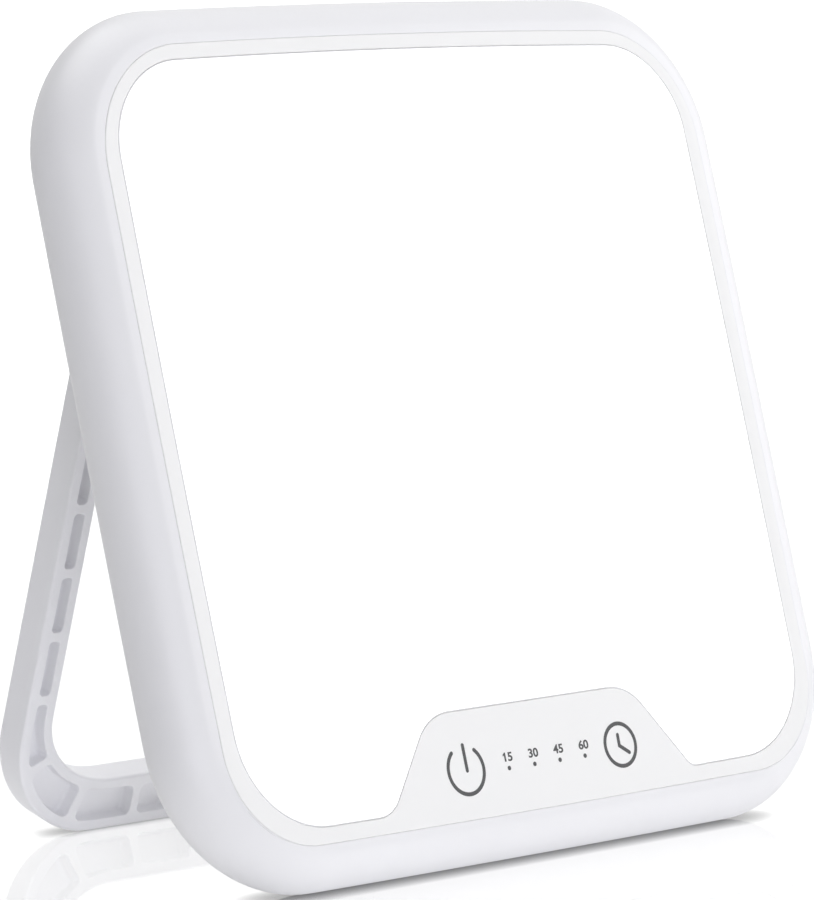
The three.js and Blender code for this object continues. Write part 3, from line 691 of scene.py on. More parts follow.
@dataclass(frozen=True)
class LitOpal:
    """Opal plastic that is lit from behind.

    Attributes:
        name: The material's name.
        slot: The record's slot. Not used.
        colour: Base colour, linear.
        glow: Strength of the light that it gives.
        roughness: Mean roughness.
        drift: How far the tone drifts.
        grain_depth: Depth of the grain, in millimetres.
    """

    name: str
    slot: Slot
    colour: Colour
    glow: float
    roughness: float = 0.28
    drift: float = 0.01
    grain_depth: float = 0.002

    @functools.cache
    def material(self) -> bpy.types.Material:
        """Builds the material once.

        Returns:
            The material.
        """
        graph, surface = start_material(self.name)
        base_inputs = {"Color": self.colour, "Drift": self.drift, "Roughness": self.roughness}
        base = graph.group(moulded_group(), base_inputs)
        graph.feed(surface, {
            "Base Color": base["Color"],
            "Roughness": base["Roughness"],
            "Emission Color": base["Color"],
            "Emission Strength": self.glow,
            "Normal": relief(graph, base["Height"], self.grain_depth),
        })
        return bpy.data.materials[self.name]


@dataclass(frozen=True)
class Metal:
    """Turned or plated metal.

    Attributes:
        name: The material's name.
        slot: The record's slot. Not used.
        colour: Base colour, linear.
        roughness: Mean roughness.
        worn_gain: How much brighter rubbed edges are.
        ring_depth: Depth of the fine rings, in millimetres.
    """

    name: str
    slot: Slot
    colour: Colour
    roughness: float = 0.3
    worn_gain: float = 1.4
    ring_depth: float = 0.003

    @functools.cache
    def material(self) -> bpy.types.Material:
        """Builds the material once.

        Returns:
            The material.
        """
        graph, surface = start_material(self.name)
        base = graph.group(turned_metal_group(), {"Color": self.colour, "Roughness": self.roughness})
        edge_colour = lighter(self.colour, self.worn_gain)
        worn = graph.group(wear_group(), {"Color": base["Color"], "Edge Color": edge_colour})
        graph.feed(surface, {
            "Base Color": worn["Color"],
            "Roughness": base["Roughness"],
            "Metallic": 1.0,
            "Normal": relief(graph, base["Height"], self.ring_depth),
        })
        return bpy.data.materials[self.name]


@dataclass(frozen=True)
class BoardLacquer:
    """Lacquer of a circuit board, with the copper lines that show through it.

    Attributes:
        name: The material's name.
        slot: The record's slot. Not used.
        colour: Colour of the lacquer, linear.
        line_colour: Its colour over copper, linear.
        line_scale: Lines per metre.
        line_width: Width of a line, as a share of the lines' pitch.
        patch_scale: Patches of copper per metre.
        patch_start: Noise above which there is copper.
        drift: How far the tone drifts.
        roughness: Mean roughness.
        line_depth: How far the copper stands out, in millimetres.
    """

    name: str
    slot: Slot
    colour: Colour
    line_colour: Colour
    line_scale: float = 320.0
    line_width: float = 0.06
    patch_scale: float = 60.0
    patch_start: float = 0.48
    drift: float = 0.12
    roughness: float = 0.35
    line_depth: float = 0.02

    @functools.cache
    def material(self) -> bpy.types.Material:
        """Builds the material once.

        Returns:
            The material.
        """
        graph, surface = start_material(self.name)
        line_inputs = {"Vector": graph.place(), "Scale": self.line_scale, "Mortar Size": self.line_width}
        lines = graph.add("ShaderNodeTexBrick", line_inputs).outputs["Fac"]
        patches = graph.math("GREATER_THAN", graph.noise(self.patch_scale), self.patch_start)
        copper = graph.math("MULTIPLY", lines, patches)
        lacquer = graph.blend(copper, self.colour, self.line_colour)
        base_inputs = {"Color": lacquer, "Drift": self.drift, "Roughness": self.roughness}
        base = graph.group(moulded_group(), base_inputs)
        graph.feed(surface, {
            "Base Color": base["Color"],
            "Roughness": base["Roughness"],
            "Normal": relief(graph, copper, self.line_depth),
        })
        return bpy.data.materials[self.name]


@dataclass(frozen=True)
class Finishes:
    """Every finish of the lamp."""

    housing: Plastic = Plastic("satin_white_housing", Slot.HOUSING, (0.838, 0.838, 0.856, 1.0))
    # The stand gets a lighter copy of the housing's plastic: painted light on the stand, where the head
    # shades it.
    stand: Plastic = Plastic("satin_white_stand", Slot.HOUSING, (0.9, 0.9, 0.924, 1.0))
    trim: Plastic = Plastic("smooth_white_trim", Slot.TRIM, (0.87, 0.87, 0.866, 1.0), 0.34, 0.012, dust=0.0)
    lens: LitOpal = LitOpal("lit_opal_lens", Slot.LENS, (0.97, 0.97, 0.97, 1.0), 1.0)
    lens_edge: Plastic = Plastic(
        "unlit_opal_edge", Slot.LENS, (0.86, 0.86, 0.87, 1.0), 0.35, wear=0.0, dust=0.0
    )
    film: LitOpal = LitOpal("milky_film", Slot.FILM, (0.94, 0.94, 0.95, 1.0), 0.4)
    reflector: Plastic = Plastic("reflector_paint", Slot.REFLECTOR, (0.92, 0.92, 0.92, 1.0), 0.55)
    ink: Plastic = Plastic("panel_ink", Slot.TRIM, (0.062, 0.062, 0.064, 1.0), 0.6, 0.2, wear=0.0, dust=0.0)
    black: Plastic = Plastic("satin_black_plastic", Slot.BLACK, (0.02, 0.02, 0.022, 1.0), 0.45, 0.3)
    foam: Plastic = Plastic(
        "conductive_foam_grey", Slot.FOAM, (0.05, 0.05, 0.055, 1.0), 0.9, 0.6, 900.0, 0.25
    )
    clear: Plastic = Plastic("clear_epoxy", Slot.CLEAR, (0.7, 0.72, 0.75, 1.0), 0.1, 0.1, 400.0)
    nylon: Plastic = Plastic("natural_nylon", Slot.NYLON, (0.78, 0.78, 0.74, 1.0), 0.5, 0.05)
    steel: Metal = Metal("zinc_plated_steel", Slot.STEEL, (0.46, 0.47, 0.49, 1.0), 0.3)
    brass: Metal = Metal("turned_brass", Slot.BRASS, (0.46, 0.3, 0.08, 1.0), 0.35)
    green: BoardLacquer = BoardLacquer(
        "green_board", Slot.CIRCUIT, (0.015, 0.12, 0.04, 1.0), (0.03, 0.25, 0.08, 1.0)
    )
    white: BoardLacquer = BoardLacquer(
        "white_board", Slot.LED_BOARD, (0.8, 0.82, 0.8, 1.0), (0.68, 0.7, 0.66, 1.0)
    )


Finish = Plastic | LitOpal | Metal | BoardLacquer


class Draft:
    """One solid in the making. Its mesh is in millimetres until the piece is placed.

    Attributes:
        smooth_below: Angle under which an edge is shaded smooth, in degrees.
        object: The object that holds the mesh.
    """

    smooth_below: float = 38.0

    def __init__(self, name: str, *shapes: Shape) -> None:
        """Makes an object from one or more closed shapes that don't touch each other.

        Args:
            name: The object's name.
            *shapes: The shapes, which are used up.
        """
        mesh = bpy.data.meshes.new(name)
        whole = bmesh.new()
        for shape in shapes:
            bmesh.ops.recalc_face_normals(shape, faces=shape.faces)
            shape.to_mesh(mesh)
            shape.free()
            whole.from_mesh(mesh)
        whole.to_mesh(mesh)
        whole.free()
        self.object = bpy.data.objects.new(name, mesh)
        bpy.context.scene.collection.objects.link(self.object)

    def settle(self) -> Draft:
        """Bakes the object's modifiers into its mesh.

        Returns:
            This draft.
        """
        graph = bpy.context.evaluated_depsgraph_get()
        graph.update()
        baked = bpy.data.meshes.new_from_object(self.object.evaluated_get(graph), depsgraph=graph)
        old = self.object.data
        self.object.modifiers.clear()
        self.object.data = baked
        bpy.data.meshes.remove(old)
        return self

    def combine(self, way: Join, *shapes: Shape) -> Draft:
        """Joins, cuts or keeps this solid with shapes that don't touch each other.

        Args:
            way: What is done.
            *shapes: The shapes, which are used up.

        Returns:
            This draft.
        """
        tool = Draft(self.object.name + ".tool", *shapes)
        step = self.object.modifiers.new("combine", "BOOLEAN")
        step.operation = way.value
        step.solver = "EXACT"
        step.object = tool.object
        self.settle()
        mesh = tool.object.data
        bpy.data.objects.remove(tool.object)
        bpy.data.meshes.remove(mesh)
        return self

    def soften(self, width: float, limit: float = 40.0) -> Draft:
        """Rounds the edges that are still sharp.

        Args:
            width: How far the rounding reaches from the edge.
            limit: The least angle of an edge that is rounded, in degrees.

        Returns:
            This draft.
        """
        step = self.object.modifiers.new("soften", "BEVEL")
        step.limit_method = "ANGLE"
        step.angle_limit = math.radians(limit)
        step.width = width
        step.segments = 3
        step.use_clamp_overlap = True
        return self.settle()

    def place(self, upright: Upright, finish: Finish, body: Body, *nodes: str) -> bpy.types.Object:
        """Shades the solid, brings it to its place and makes it ride on its body.

        Args:
            upright: The frame that it was drawn in.
            finish: Its finish.
            body: The body that it moves with.
            *nodes: Nodes of the frame that it stands for.

        Returns:
            The finished piece.
        """
        mesh = self.object.data
        shape = bmesh.new()
        shape.from_mesh(mesh)
        bmesh.ops.remove_doubles(shape, verts=shape.verts, dist=WELD)
        bmesh.ops.transform(shape, matrix=upright.matrix(), verts=shape.verts)
        for face in shape.faces:
            face.smooth = True
        for edge in shape.edges:
            edge.smooth = edge.calc_face_angle(0.0) < math.radians(self.smooth_below)
        shape.to_mesh(mesh)
        shape.free()
        facing = self.object.modifiers.new("facing", "WEIGHTED_NORMAL")
        facing.keep_sharp = True
        mesh.materials.clear()
        mesh.materials.append(finish.material())
        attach(self.object, body.value)
        if nodes:
            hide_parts(*nodes)
        log.info("%s: %d faces", self.object.name, len(mesh.polygons))
        return self.object


@dataclass(frozen=True)
class Outline:
    """A rounded rectangle whose sides bow outward a little, seen from the front.

    Attributes:
        half_width: Half its width.
        top: Height of its top edge over the middle of the window.
        bottom: How far its bottom edge lies under the middle of the window.
        top_radius: Radius of its upper corners.
        bottom_radius: Radius of its lower corners.
        side_bow: How far the sides bow outward.
        top_bow: How far the top edge bows upward.
        bottom_bow: How far the bottom edge bows downward.
        corner_steps: Steps round a corner.
        side_steps: Steps along a side.
    """

    half_width: float
    top: float
    bottom: float
    top_radius: float
    bottom_radius: float
    side_bow: float = 0.5
    top_bow: float = 1.7
    bottom_bow: float = 0.6
    corner_steps: int = 26
    side_steps: int = 18

    def bowed(self, point: Point) -> Point:
        """Moves a point of the straight-sided outline to where the bowed outline has it.

        Args:
            point: The point.

        Returns:
            The moved point.
        """
        across = point[0] / self.half_width
        along = point[1] / (self.top if point[1] > 0 else self.bottom)
        end_bow = self.top_bow if point[1] > 0 else self.bottom_bow
        return (
            point[0] + self.side_bow * across * (1 - along * along),
            point[1] + end_bow * along * (1 - across * across),
        )

    def points(self, grow: float = 0.0, bottom_edge: Sequence[Point] | None = None) -> list[Point]:
        """Gives the outline from the left side's foot, anticlockwise.

        Args:
            grow: How far it is moved outward.
            bottom_edge: Points that stand for the straight bottom edge.

        Returns:
            The points once round.
        """
        width = self.half_width + grow
        low, high = self.bottom_radius + grow, self.top_radius + grow
        corners = [
            (low - width, low - self.bottom - grow, low, HALF),
            (width - low, low - self.bottom - grow, low, HALF + QUARTER),
            (width - high, self.top + grow - high, high, 0.0),
            (high - width, self.top + grow - high, high, QUARTER),
        ]
        steps = self.corner_steps
        arcs = [arc((x, z), radius, start, start + QUARTER, steps) for x, z, radius, start in corners]
        points: list[Point] = []
        for k, corner in enumerate(arcs):
            (x0, z0), (x1, z1) = corner[-1], arcs[(k + 1) % 4][0]
            xs = spread(x0, x1, self.side_steps)[1:-1]
            zs = spread(z0, z1, self.side_steps)[1:-1]
            side = list(bottom_edge) if k == 0 and bottom_edge else list(zip(xs, zs))
            points += corner + side
        return [self.bowed(point) for point in points]

    def row(self, grow: float, depth: float, bottom_edge: Sequence[Point] | None = None) -> Row:
        """Gives the outline as a row of points at a depth.

        Args:
            grow: How far it is moved outward.
            depth: The row's depth.
            bottom_edge: Points that stand for the straight bottom edge.

        Returns:
            The row.
        """
        return [Vector((x, depth, z)) for x, z in self.points(grow, bottom_edge)]


@dataclass(frozen=True)
class Hump:
    """The control hump that rises from the middle of the window's bottom edge.

    Attributes:
        height: Its height over the window's bottom edge.
        top_half: Half the width of its top, between the corners.
        foot_half: Half the width of its foot.
        top_radius: Radius of its two upper corners.
        left_foot_radius: Radius where its left side meets the window's edge.
        right_foot_radius: Radius where its right side meets the window's edge.
        steps: Steps round a corner.
    """

    height: float = 24.6
    top_half: float = 37.6
    foot_half: float = 56.6
    top_radius: float = 15.0
    left_foot_radius: float = 10.0
    right_foot_radius: float = 4.5
    steps: int = 16

    def slope(self) -> float:
        """Gives the angle of its sides from upright."""
        return math.atan2(self.foot_half - self.top_half, self.height)

    def path(self, window: Outline, grow: float) -> list[Point]:
        """Gives the hump's outline from its left foot to its right foot.

        Args:
            window: The window that it rises into.
            grow: How far it is moved outward.

        Returns:
            The points of its four rounded corners.
        """
        lift = grow / math.cos(self.slope()) - grow * math.tan(self.slope())
        foot = grow - window.bottom
        top = self.height - window.bottom + grow
        corners = [
            Vector((-window.half_width, foot)),
            Vector((-self.foot_half - lift, foot)),
            Vector((-self.top_half - lift, top)),
            Vector((self.top_half + lift, top)),
            Vector((self.foot_half + lift, foot)),
            Vector((window.half_width, foot)),
        ]
        crest = self.top_radius + grow
        radii = [self.left_foot_radius - grow, crest, crest, self.right_foot_radius - grow]
        points: list[Point] = []
        for k, radius in enumerate(radii):
            points += self.fillet(*corners[k:k + 3], radius)
        return points

    def fillet(self, before: Vector, corner: Vector, after: Vector, radius: float) -> list[Point]:
        """Rounds the corner between two straight stretches.

        Args:
            before: A point on the first stretch.
            corner: Where the stretches meet.
            after: A point on the second stretch.
            radius: The radius of the rounding.

        Returns:
            Points along the rounding.
        """
        back = (before - corner).normalized()
        ahead = (after - corner).normalized()
        half = back.angle(ahead) / 2
        centre = corner + (back + ahead).normalized() * (radius / math.sin(half))
        first = corner + back * (radius / math.tan(half)) - centre
        last = corner + ahead * (radius / math.tan(half)) - centre
        start = math.atan2(first.y, first.x)
        sweep = math.remainder(math.atan2(last.y, last.x) - start, TURN)
        return arc((centre.x, centre.y), radius, start, start + sweep, self.steps)


@dataclass(frozen=True)
class HeadLayout:
    """Outlines, depths and fastener sizes that the pieces of the lamp share.

    Every size is in millimetres. Seat is the clearance round a piece, and the places of the screws and of
    the power inlet are in x and z on the head. Each mirrored pair is given by its right one.
    """

    seat: float = 0.3
    window: Outline = Outline(105.6, 100.0, 102.0, 25.0, 26.5)
    border: Outline = Outline(110.3, 104.0, 106.3, 31.1, 27.1)
    head: Outline = Outline(121.8, 115.6, 117.5, 42.0, 43.0)
    hump: Hump = Hump()
    plate_proud: float = 1.0
    rim_radius: float = 11.4
    lens_thickness: float = 2.0
    back_lip: float = 2.6
    cover_thickness: float = 2.8
    hinge_height: float = 63.0
    hinge_clearance: float = 1.0
    arm_thickness: float = 9.6
    stand_inset: float = 33.6
    arm_width: float = 10.1
    washer_thickness: float = 0.6
    lug_thickness: float = 7.0
    cover_screw_inset: float = 4.6
    cover_screw_gap: float = 6.0
    screw_sink: float = 1.9
    post_radius: float = 2.8
    pilot_radius: float = 1.4
    insert_radius: float = 2.6
    insert_length: float = 5.4
    pivot_radius: float = 1.9
    pivot_head_radius: float = 2.9
    pivot_head_sink: float = 3.2
    led_screws: tuple[Point, ...] = ((-72.0, 71.0), (72.0, 71.0), (-72.0, -67.4), (72.0, -67.4))
    control_screw: Point = (43.08, -93.8)
    driver_screw: Point = (44.91, -96.0)
    jack_place: Point = (33.91, -90.0)

    @property
    def back_depth(self) -> float:
        """Depth of the lamp's back behind the face of the lens."""
        return self.plate_proud + 2 * self.rim_radius

    @property
    def cover_inside(self) -> float:
        """Depth of the rear cover's inner face."""
        return self.back_depth - self.cover_thickness

    @property
    def cover_edge(self) -> float:
        """How far the seam of the rear cover lies inside the head's outline."""
        return self.rim_radius + self.back_lip

    @property
    def hinge_depth(self) -> float:
        """Depth of the hinge axis."""
        return self.back_depth + self.hinge_clearance + self.arm_thickness / 2

    @property
    def stand_half(self) -> float:
        """Half the width of the stand."""
        return self.head.half_width - self.stand_inset

    @property
    def arm_inside(self) -> float:
        """Where the inner faces of the stand's arms lie."""
        return self.stand_half - self.arm_width

    @property
    def lug_outside(self) -> float:
        """Where the outer faces of the hinge ears lie."""
        return self.arm_inside - self.washer_thickness - 2 * self.seat

    @property
    def hinge_move(self) -> Matrix:
        """Moves what is drawn round the hinge axis to its place on the head."""
        return Matrix.Translation((0, self.hinge_depth, self.hinge_height))

    def cover_screws(self) -> list[Point]:
        """Gives the places of the six screws of the rear cover.

        Returns:
            Both upper ones, both lower ones, the top one and the bottom one.
        """
        inset = self.cover_edge + self.cover_screw_inset
        side = self.head.half_width + self.head.side_bow - inset
        top = self.head.top + self.head.top_bow - inset
        bottom = self.head.bottom + self.head.bottom_bow - inset
        high = self.head.top - self.head.top_radius - self.cover_screw_gap
        low = self.head.bottom_radius + self.cover_screw_gap - self.head.bottom
        return [(-side, high), (side, high), (-side, low), (side, low), (0.0, top), (0.0, -bottom)]

    def window_row(self, inset: float, depth: float) -> Row:
        """Gives the window's outline, with the hump, moved inward by an inset, at a depth."""
        return self.window.row(-inset, depth, self.hump.path(self.window, inset))


@dataclass
class Housing:
    """The housing ring with its full round rim, and the rear cover that closes it.

    Every size is in millimetres. The lip is the edge of the rim beside the border plate, a ledge carries
    the plate in front and the cover behind, and a lug is an ear of the hinge. Where the lip starts and how
    far it blends are angles round the rim, in degrees. Where a lug's flare starts is one in radians.
    """

    layout: HeadLayout
    upright: Upright
    finishes: Finishes
    wall: float = 2.2
    lip_gap: float = 0.02
    lip_depth: float = 0.2
    lip_round: float = 0.2
    lip_step: float = 0.55
    lip_start: float = 11.0
    lip_blend: float = 42.0
    rim_steps: int = 34
    wall_steps: int = 16
    plate_ledge: float = 6.6
    ledge_thickness: float = 2.2
    cover_ledge: float = 3.6
    cover_ledge_thickness: float = 1.8
    boss_radius: float = 3.5
    boss_front: float = 16.8
    edge: float = 0.35
    lug_radius: float = 5.2
    lug_foot: float = 9.0
    lug_flare: float = 2.4
    lug_flare_start: float = 0.2
    screw_hole: float = 1.55
    screw_head_hole: float = 3.0
    jack_hole: float = 5.3
    led_post_height: float = 4.2
    driver_post_front: float = 14.4
    pilot_length: float = 6.0
    pilot_roof: float = 1.2

    def build(self) -> None:
        """Builds both shells."""
        self.build_ring()
        self.build_cover()

    def rim_row(self, radius: float, angle: float) -> Row:
        """Gives a row of the rim's round section.

        Args:
            radius: Radius of the section.
            angle: Angle from straight ahead to straight back, in radians.

        Returns:
            The row.
        """
        layout = self.layout
        inset = layout.rim_radius - radius * math.sin(angle)
        depth = layout.plate_proud + layout.rim_radius - radius * math.cos(angle)
        return layout.head.row(-inset, depth)

    def front_rows(self) -> list[Row]:
        """Gives the rim's rows from its lip beside the border plate round to the back.

        The circle is eased toward the plate, so that the rim comes up nearly flush with it.

        Returns:
            The rows.
        """
        layout = self.layout
        lip = [
            layout.border.row(self.lip_gap + inset, self.lip_depth + depth)
            for inset, depth in edge_round(self.lip_round)
        ]
        blend = math.radians(self.lip_blend)
        rows = []
        for angle in spread(math.radians(self.lip_start), HALF, self.rim_steps):
            share = max(0.0, 1 - angle / blend)
            ease = (layout.plate_proud - self.lip_depth) * share * share * (3 - 2 * share)
            rows.append([point - Vector((0, ease, 0)) for point in self.rim_row(layout.rim_radius, angle)])
        return lip + rows

    def wall_rows(self, cover_seat: float, ledge_back: float) -> list[Row]:
        """Gives the rows of the rim's inner wall, from the cover's ledge to the plate's.

        Args:
            cover_seat: Depth of the face that the cover lies on.
            ledge_back: Depth of the rear of the plate's ledge.

        Returns:
            The rows.
        """
        inner = self.layout.rim_radius - self.wall
        centre = self.layout.plate_proud + self.layout.rim_radius
        depths = (cover_seat - self.cover_ledge_thickness, ledge_back)
        first, last = (math.acos((centre - depth) / inner) for depth in depths)
        return [self.rim_row(inner, angle) for angle in spread(first, last, self.wall_steps)]

    def build_ring(self) -> None:
        """Builds the housing ring with the ledges and screw bosses inside it."""
        layout = self.layout
        head = layout.head
        cover_seat = layout.cover_inside - layout.seat
        ledge_front = layout.lens_thickness + layout.seat
        ledge_back = ledge_front + self.ledge_thickness
        inside = -layout.cover_edge - self.cover_ledge
        back = [
            head.row(inset - layout.cover_edge, layout.back_depth - depth)
            for inset, depth in reversed(edge_round(self.edge))
        ]
        rows = [
            *self.front_rows(),
            *back,
            head.row(-layout.cover_edge, cover_seat),
            head.row(inside, cover_seat),
            head.row(inside, cover_seat - self.cover_ledge_thickness),
            *self.wall_rows(cover_seat, ledge_back),
            layout.border.row(-self.plate_ledge, ledge_back),
            layout.border.row(-self.plate_ledge, ledge_front),
            layout.border.row(layout.seat, ledge_front),
            layout.border.row(layout.seat, self.lip_step),
            layout.border.row(self.lip_gap, self.lip_step),
        ]
        shape = bmesh.new()
        skin(shape, rows, closed=True)
        ring = Draft("rim_housing", shape)
        places = layout.cover_screws()
        bosses = [rod(self.boss_radius, self.boss_front, cover_seat, place) for place in places]
        front, back = self.boss_front - OVERRUN, cover_seat + OVERRUN
        pilots = [rod(layout.pilot_radius, front, back, place) for place in places]
        ring.combine(Join.ADD, *bosses).combine(Join.CUT, *pilots)
        ring.place(self.upright, self.finishes.housing, Body.HEAD, "front_shell")

    def screw_seat(self, place: Point) -> Shape:
        """Makes the tool for one screw seat: a through hole with a wider seat for the head.

        Args:
            place: Where the screw stands on the head.

        Returns:
            The tool.
        """
        layout = self.layout
        floor = layout.back_depth - layout.screw_sink
        profile = [
            (self.screw_hole, layout.cover_inside - OVERRUN),
            (self.screw_hole, floor),
            (self.screw_head_hole, floor),
            (self.screw_head_hole, layout.back_depth + OVERRUN),
        ]
        return turned_at(place, profile, 48)

    def lug(self, side: Side) -> Shape:
        """Makes the ear that carries one end of the hinge, with a foot that flows into the cover.

        Args:
            side: The side that the ear stands on.

        Returns:
            The ear, rooted in the middle of the cover.
        """
        layout = self.layout
        foot = layout.cover_inside + layout.cover_thickness / 2 - layout.hinge_depth
        face = layout.back_depth - layout.hinge_depth
        shrink = self.lug_foot - self.lug_radius
        hub = arc((0.0, 0.0), self.lug_radius, 0.0, HALF, 28)
        half = [(self.lug_foot, foot), (self.lug_foot, face)]
        half += [
            (self.lug_foot - shrink * math.sin(a), face + self.lug_flare * (1 - math.cos(a)))
            for a in spread(self.lug_flare_start, QUARTER, 8)
        ]
        outline = half + hub + [(-x, z) for x, z in reversed(half)]
        turn = Matrix(((0, 1, 0, 0), (0, 0, 1, 0), (1, 0, 0, 0), (0, 0, 0, 1)))
        ends = sorted(side.value * x for x in (layout.lug_outside - layout.lug_thickness, layout.lug_outside))
        return prism(outline, *ends, layout.hinge_move @ turn)

    def insert_bore(self, side: Side) -> Shape:
        """Makes the tool for the bore of one hinge insert.

        Args:
            side: The side that the insert is on.

        Returns:
            The tool.
        """
        layout = self.layout
        ends = (layout.lug_outside + OVERRUN, layout.lug_outside - layout.insert_length - layout.seat)
        profile = [(layout.insert_radius + layout.seat, end) for end in ends]
        return turned_across(side, profile, move=layout.hinge_move)

    def build_cover(self) -> None:
        """Builds the rear cover with its ears, posts, screw seats and inlet."""
        layout = self.layout
        shape = bmesh.new()
        grow, back = -layout.cover_edge - layout.seat, layout.back_depth
        rows = [layout.head.row(grow, layout.cover_inside)]
        rows += [layout.head.row(grow - inset, back - depth) for inset, depth in edge_round(self.edge)]
        cap(shape, skin(shape, rows))
        cover = Draft("back_panel", shape)
        root = layout.cover_inside + layout.cover_thickness / 2
        led_front = layout.cover_inside - self.led_post_height
        driver_places = mirrored(layout.driver_screw)
        posts = [rod(layout.post_radius, led_front, root, place) for place in layout.led_screws]
        posts += [rod(layout.post_radius, self.driver_post_front, root, place) for place in driver_places]
        cover.combine(Join.ADD, *posts)
        cover.combine(Join.ADD, *[self.lug(side) for side in Side])
        led_pilot, deep = layout.cover_inside - self.pilot_length, back - self.pilot_roof
        driver_pilot = self.driver_post_front - OVERRUN
        jack_ends = (layout.cover_inside - OVERRUN, back + OVERRUN)
        holes = [self.screw_seat(place) for place in layout.cover_screws()]
        holes += [rod(layout.pilot_radius, led_pilot, deep, place) for place in layout.led_screws]
        holes += [rod(layout.pilot_radius, driver_pilot, deep, place) for place in driver_places]
        holes.append(rod(self.jack_hole, *jack_ends, layout.jack_place, 72))
        holes += [self.insert_bore(side) for side in Side]
        cover.combine(Join.CUT, *holes).soften(self.edge)
        cover.place(self.upright, self.finishes.housing, Body.HEAD, "rear_cover")


@dataclass
class FrontPanel:
    """The lit lens, the border plate with the control hump, and what is printed on the hump.

    Every size is in millimetres but the power symbol's half gap, in degrees. A place is in x and z on the
    head, and the strokes of a symbol are drawn round its place.
    """

    layout: HeadLayout
    upright: Upright
    finishes: Finishes
    edge: float = 0.36
    lens_gap: float = 0.03
    lens_edge: float = 0.42
    lens_step: float = 0.5
    lens_flat: float = 0.999
    post_length: float = 4.7
    pilot_floor: float = 0.2
    ink_height: float = 0.04
    ink_root: float = 0.03
    stroke: float = 1.08
    sharpest_turn: float = 0.4
    power_place: Point = (-27.85, -93.6)
    power_radius: float = 6.45
    power_half_gap: float = 40.0
    power_bar: tuple[Point, ...] = ((0.35, -0.2), (0.35, 6.65))
    clock_place: Point = (30.9, -93.5)
    clock_radius: float = 5.8
    clock_hands: tuple[Point, ...] = ((-0.35, 2.75), (-0.45, -0.2), (2.85, -2.4))
    first_dot: float = -12.1
    dot_pitch: float = 9.63
    dot_height: float = -94.9
    dot_radius: float = 0.62
    minutes: tuple[str, ...] = ("15", "30", "45", "60")
    digit_height: float = -93.0
    digit_size: float = 3.28
    digit_stretch: float = 1.15
    digit_weight: float = 0.09
    digit_shift: float = 0.12
    digit_flag: tuple[Point, ...] = ((0.3, 0.0), (0.3, -0.5), (-0.42, -0.95), (-0.42, -0.5))

    def build(self) -> None:
        """Builds the panel and its print."""
        self.build_lens()
        self.build_plate()
        self.build_power_symbol()
        self.build_clock_symbol()
        self.build_timer_scale()

    def build_lens(self) -> None:
        """Builds the opal lens, a plate with rounded edges."""
        layout = self.layout
        shape = bmesh.new()
        gap = self.lens_gap
        rows = [
            layout.window_row(layout.seat, layout.lens_thickness),
            layout.window_row(layout.seat, self.lens_step),
            layout.window_row(gap, self.lens_step),
            *[layout.window_row(gap + inset, depth) for inset, depth in edge_round(self.lens_edge)],
        ]
        loops = skin(shape, rows)
        for loop in (loops[0], loops[-1]):
            fill(shape, [loop])
        draft = Draft("window_lens", shape)
        lens = draft.place(self.upright, self.finishes.lens, Body.HEAD, "diffuser_lens")
        lens.data.materials.append(self.finishes.lens_edge.material())
        front = (self.upright.matrix().to_3x3() @ Vector((0, -1, 0))).normalized()
        for face in lens.data.polygons:
            face.material_index = int(face.normal.dot(front) < self.lens_flat)

    def build_plate(self) -> None:
        """Builds the border plate, with the hump and the two posts behind it."""
        layout = self.layout
        shape = bmesh.new()
        back = layout.lens_thickness
        rounding = edge_round(self.edge)
        outer = skin(shape, [layout.border.row(0, back)] + [layout.border.row(-i, d) for i, d in rounding])
        inner = skin(shape, [layout.window_row(0, back)] + [layout.window_row(-i, d) for i, d in rounding])
        fill(shape, [outer[0], inner[0]])
        fill(shape, [outer[-1], inner[-1]])
        plate = Draft("border_plate", shape)
        far = back + self.post_length
        pilot_ends = (back + self.pilot_floor, far + OVERRUN)
        places = mirrored(layout.control_screw)
        plate.combine(Join.ADD, *[rod(layout.post_radius, back / 2, far, place) for place in places])
        plate.combine(Join.CUT, *[rod(layout.pilot_radius, *pilot_ends, place) for place in places])
        plate.place(self.upright, self.finishes.trim, Body.HEAD, "front_trim")

    def print_shape(self, name: str, *outlines: Sequence[Point]) -> None:
        """Prints flat shapes on the hump as one thin piece.

        Args:
            name: The piece's name.
            *outlines: The shapes, each once round, in x and z on the head.
        """
        shapes = [prism(outline, -self.ink_height, self.ink_root) for outline in outlines]
        Draft(name, *shapes).place(self.upright, self.finishes.ink, Body.HEAD)

    def stroke_outline(self, path: Sequence[Point], place: Point, width: float) -> list[Point]:
        """Draws a path with a round pen.

        Args:
            path: Points of the stroke's middle line, relative to the place.
            place: Where the symbol stands on the head.
            width: The pen's width.

        Returns:
            The outline of the stroke, once round.
        """
        line = [Vector(point) + Vector(place) for point in path]
        half = width / 2
        left: list[Point] = []
        right: list[Point] = []
        for k, point in enumerate(line):
            before = (point - line[k - 1]).normalized() if k else None
            after = (line[k + 1] - point).normalized() if k + 1 < len(line) else None
            along = ((before or after) + (after or before)).normalized()
            reach = half / max(self.sharpest_turn, along.dot(after or before))
            normal = Vector((-along.y, along.x)) * reach
            left.append(tuple(point + normal))
            right.append(tuple(point - normal))
        ends = []
        for point, toward in ((line[-1], line[-1] - line[-2]), (line[0], line[0] - line[1])):
            middle = math.atan2(toward.y, toward.x)
            ends.append(arc(tuple(point), half, middle + QUARTER, middle - QUARTER, 10)[1:-1])
        return left + ends[0] + right[::-1] + ends[1]

    def build_power_symbol(self) -> None:
        """Prints the power symbol: a ring that is open at the top, and a bar."""
        gap = math.radians(self.power_half_gap)
        ring = arc((0.0, 0.0), self.power_radius, QUARTER + gap, QUARTER + TURN - gap, 72)
        place = self.power_place
        self.print_shape(
            "power_symbol",
            self.stroke_outline(ring, place, self.stroke),
            self.stroke_outline(self.power_bar, place, self.stroke),
        )

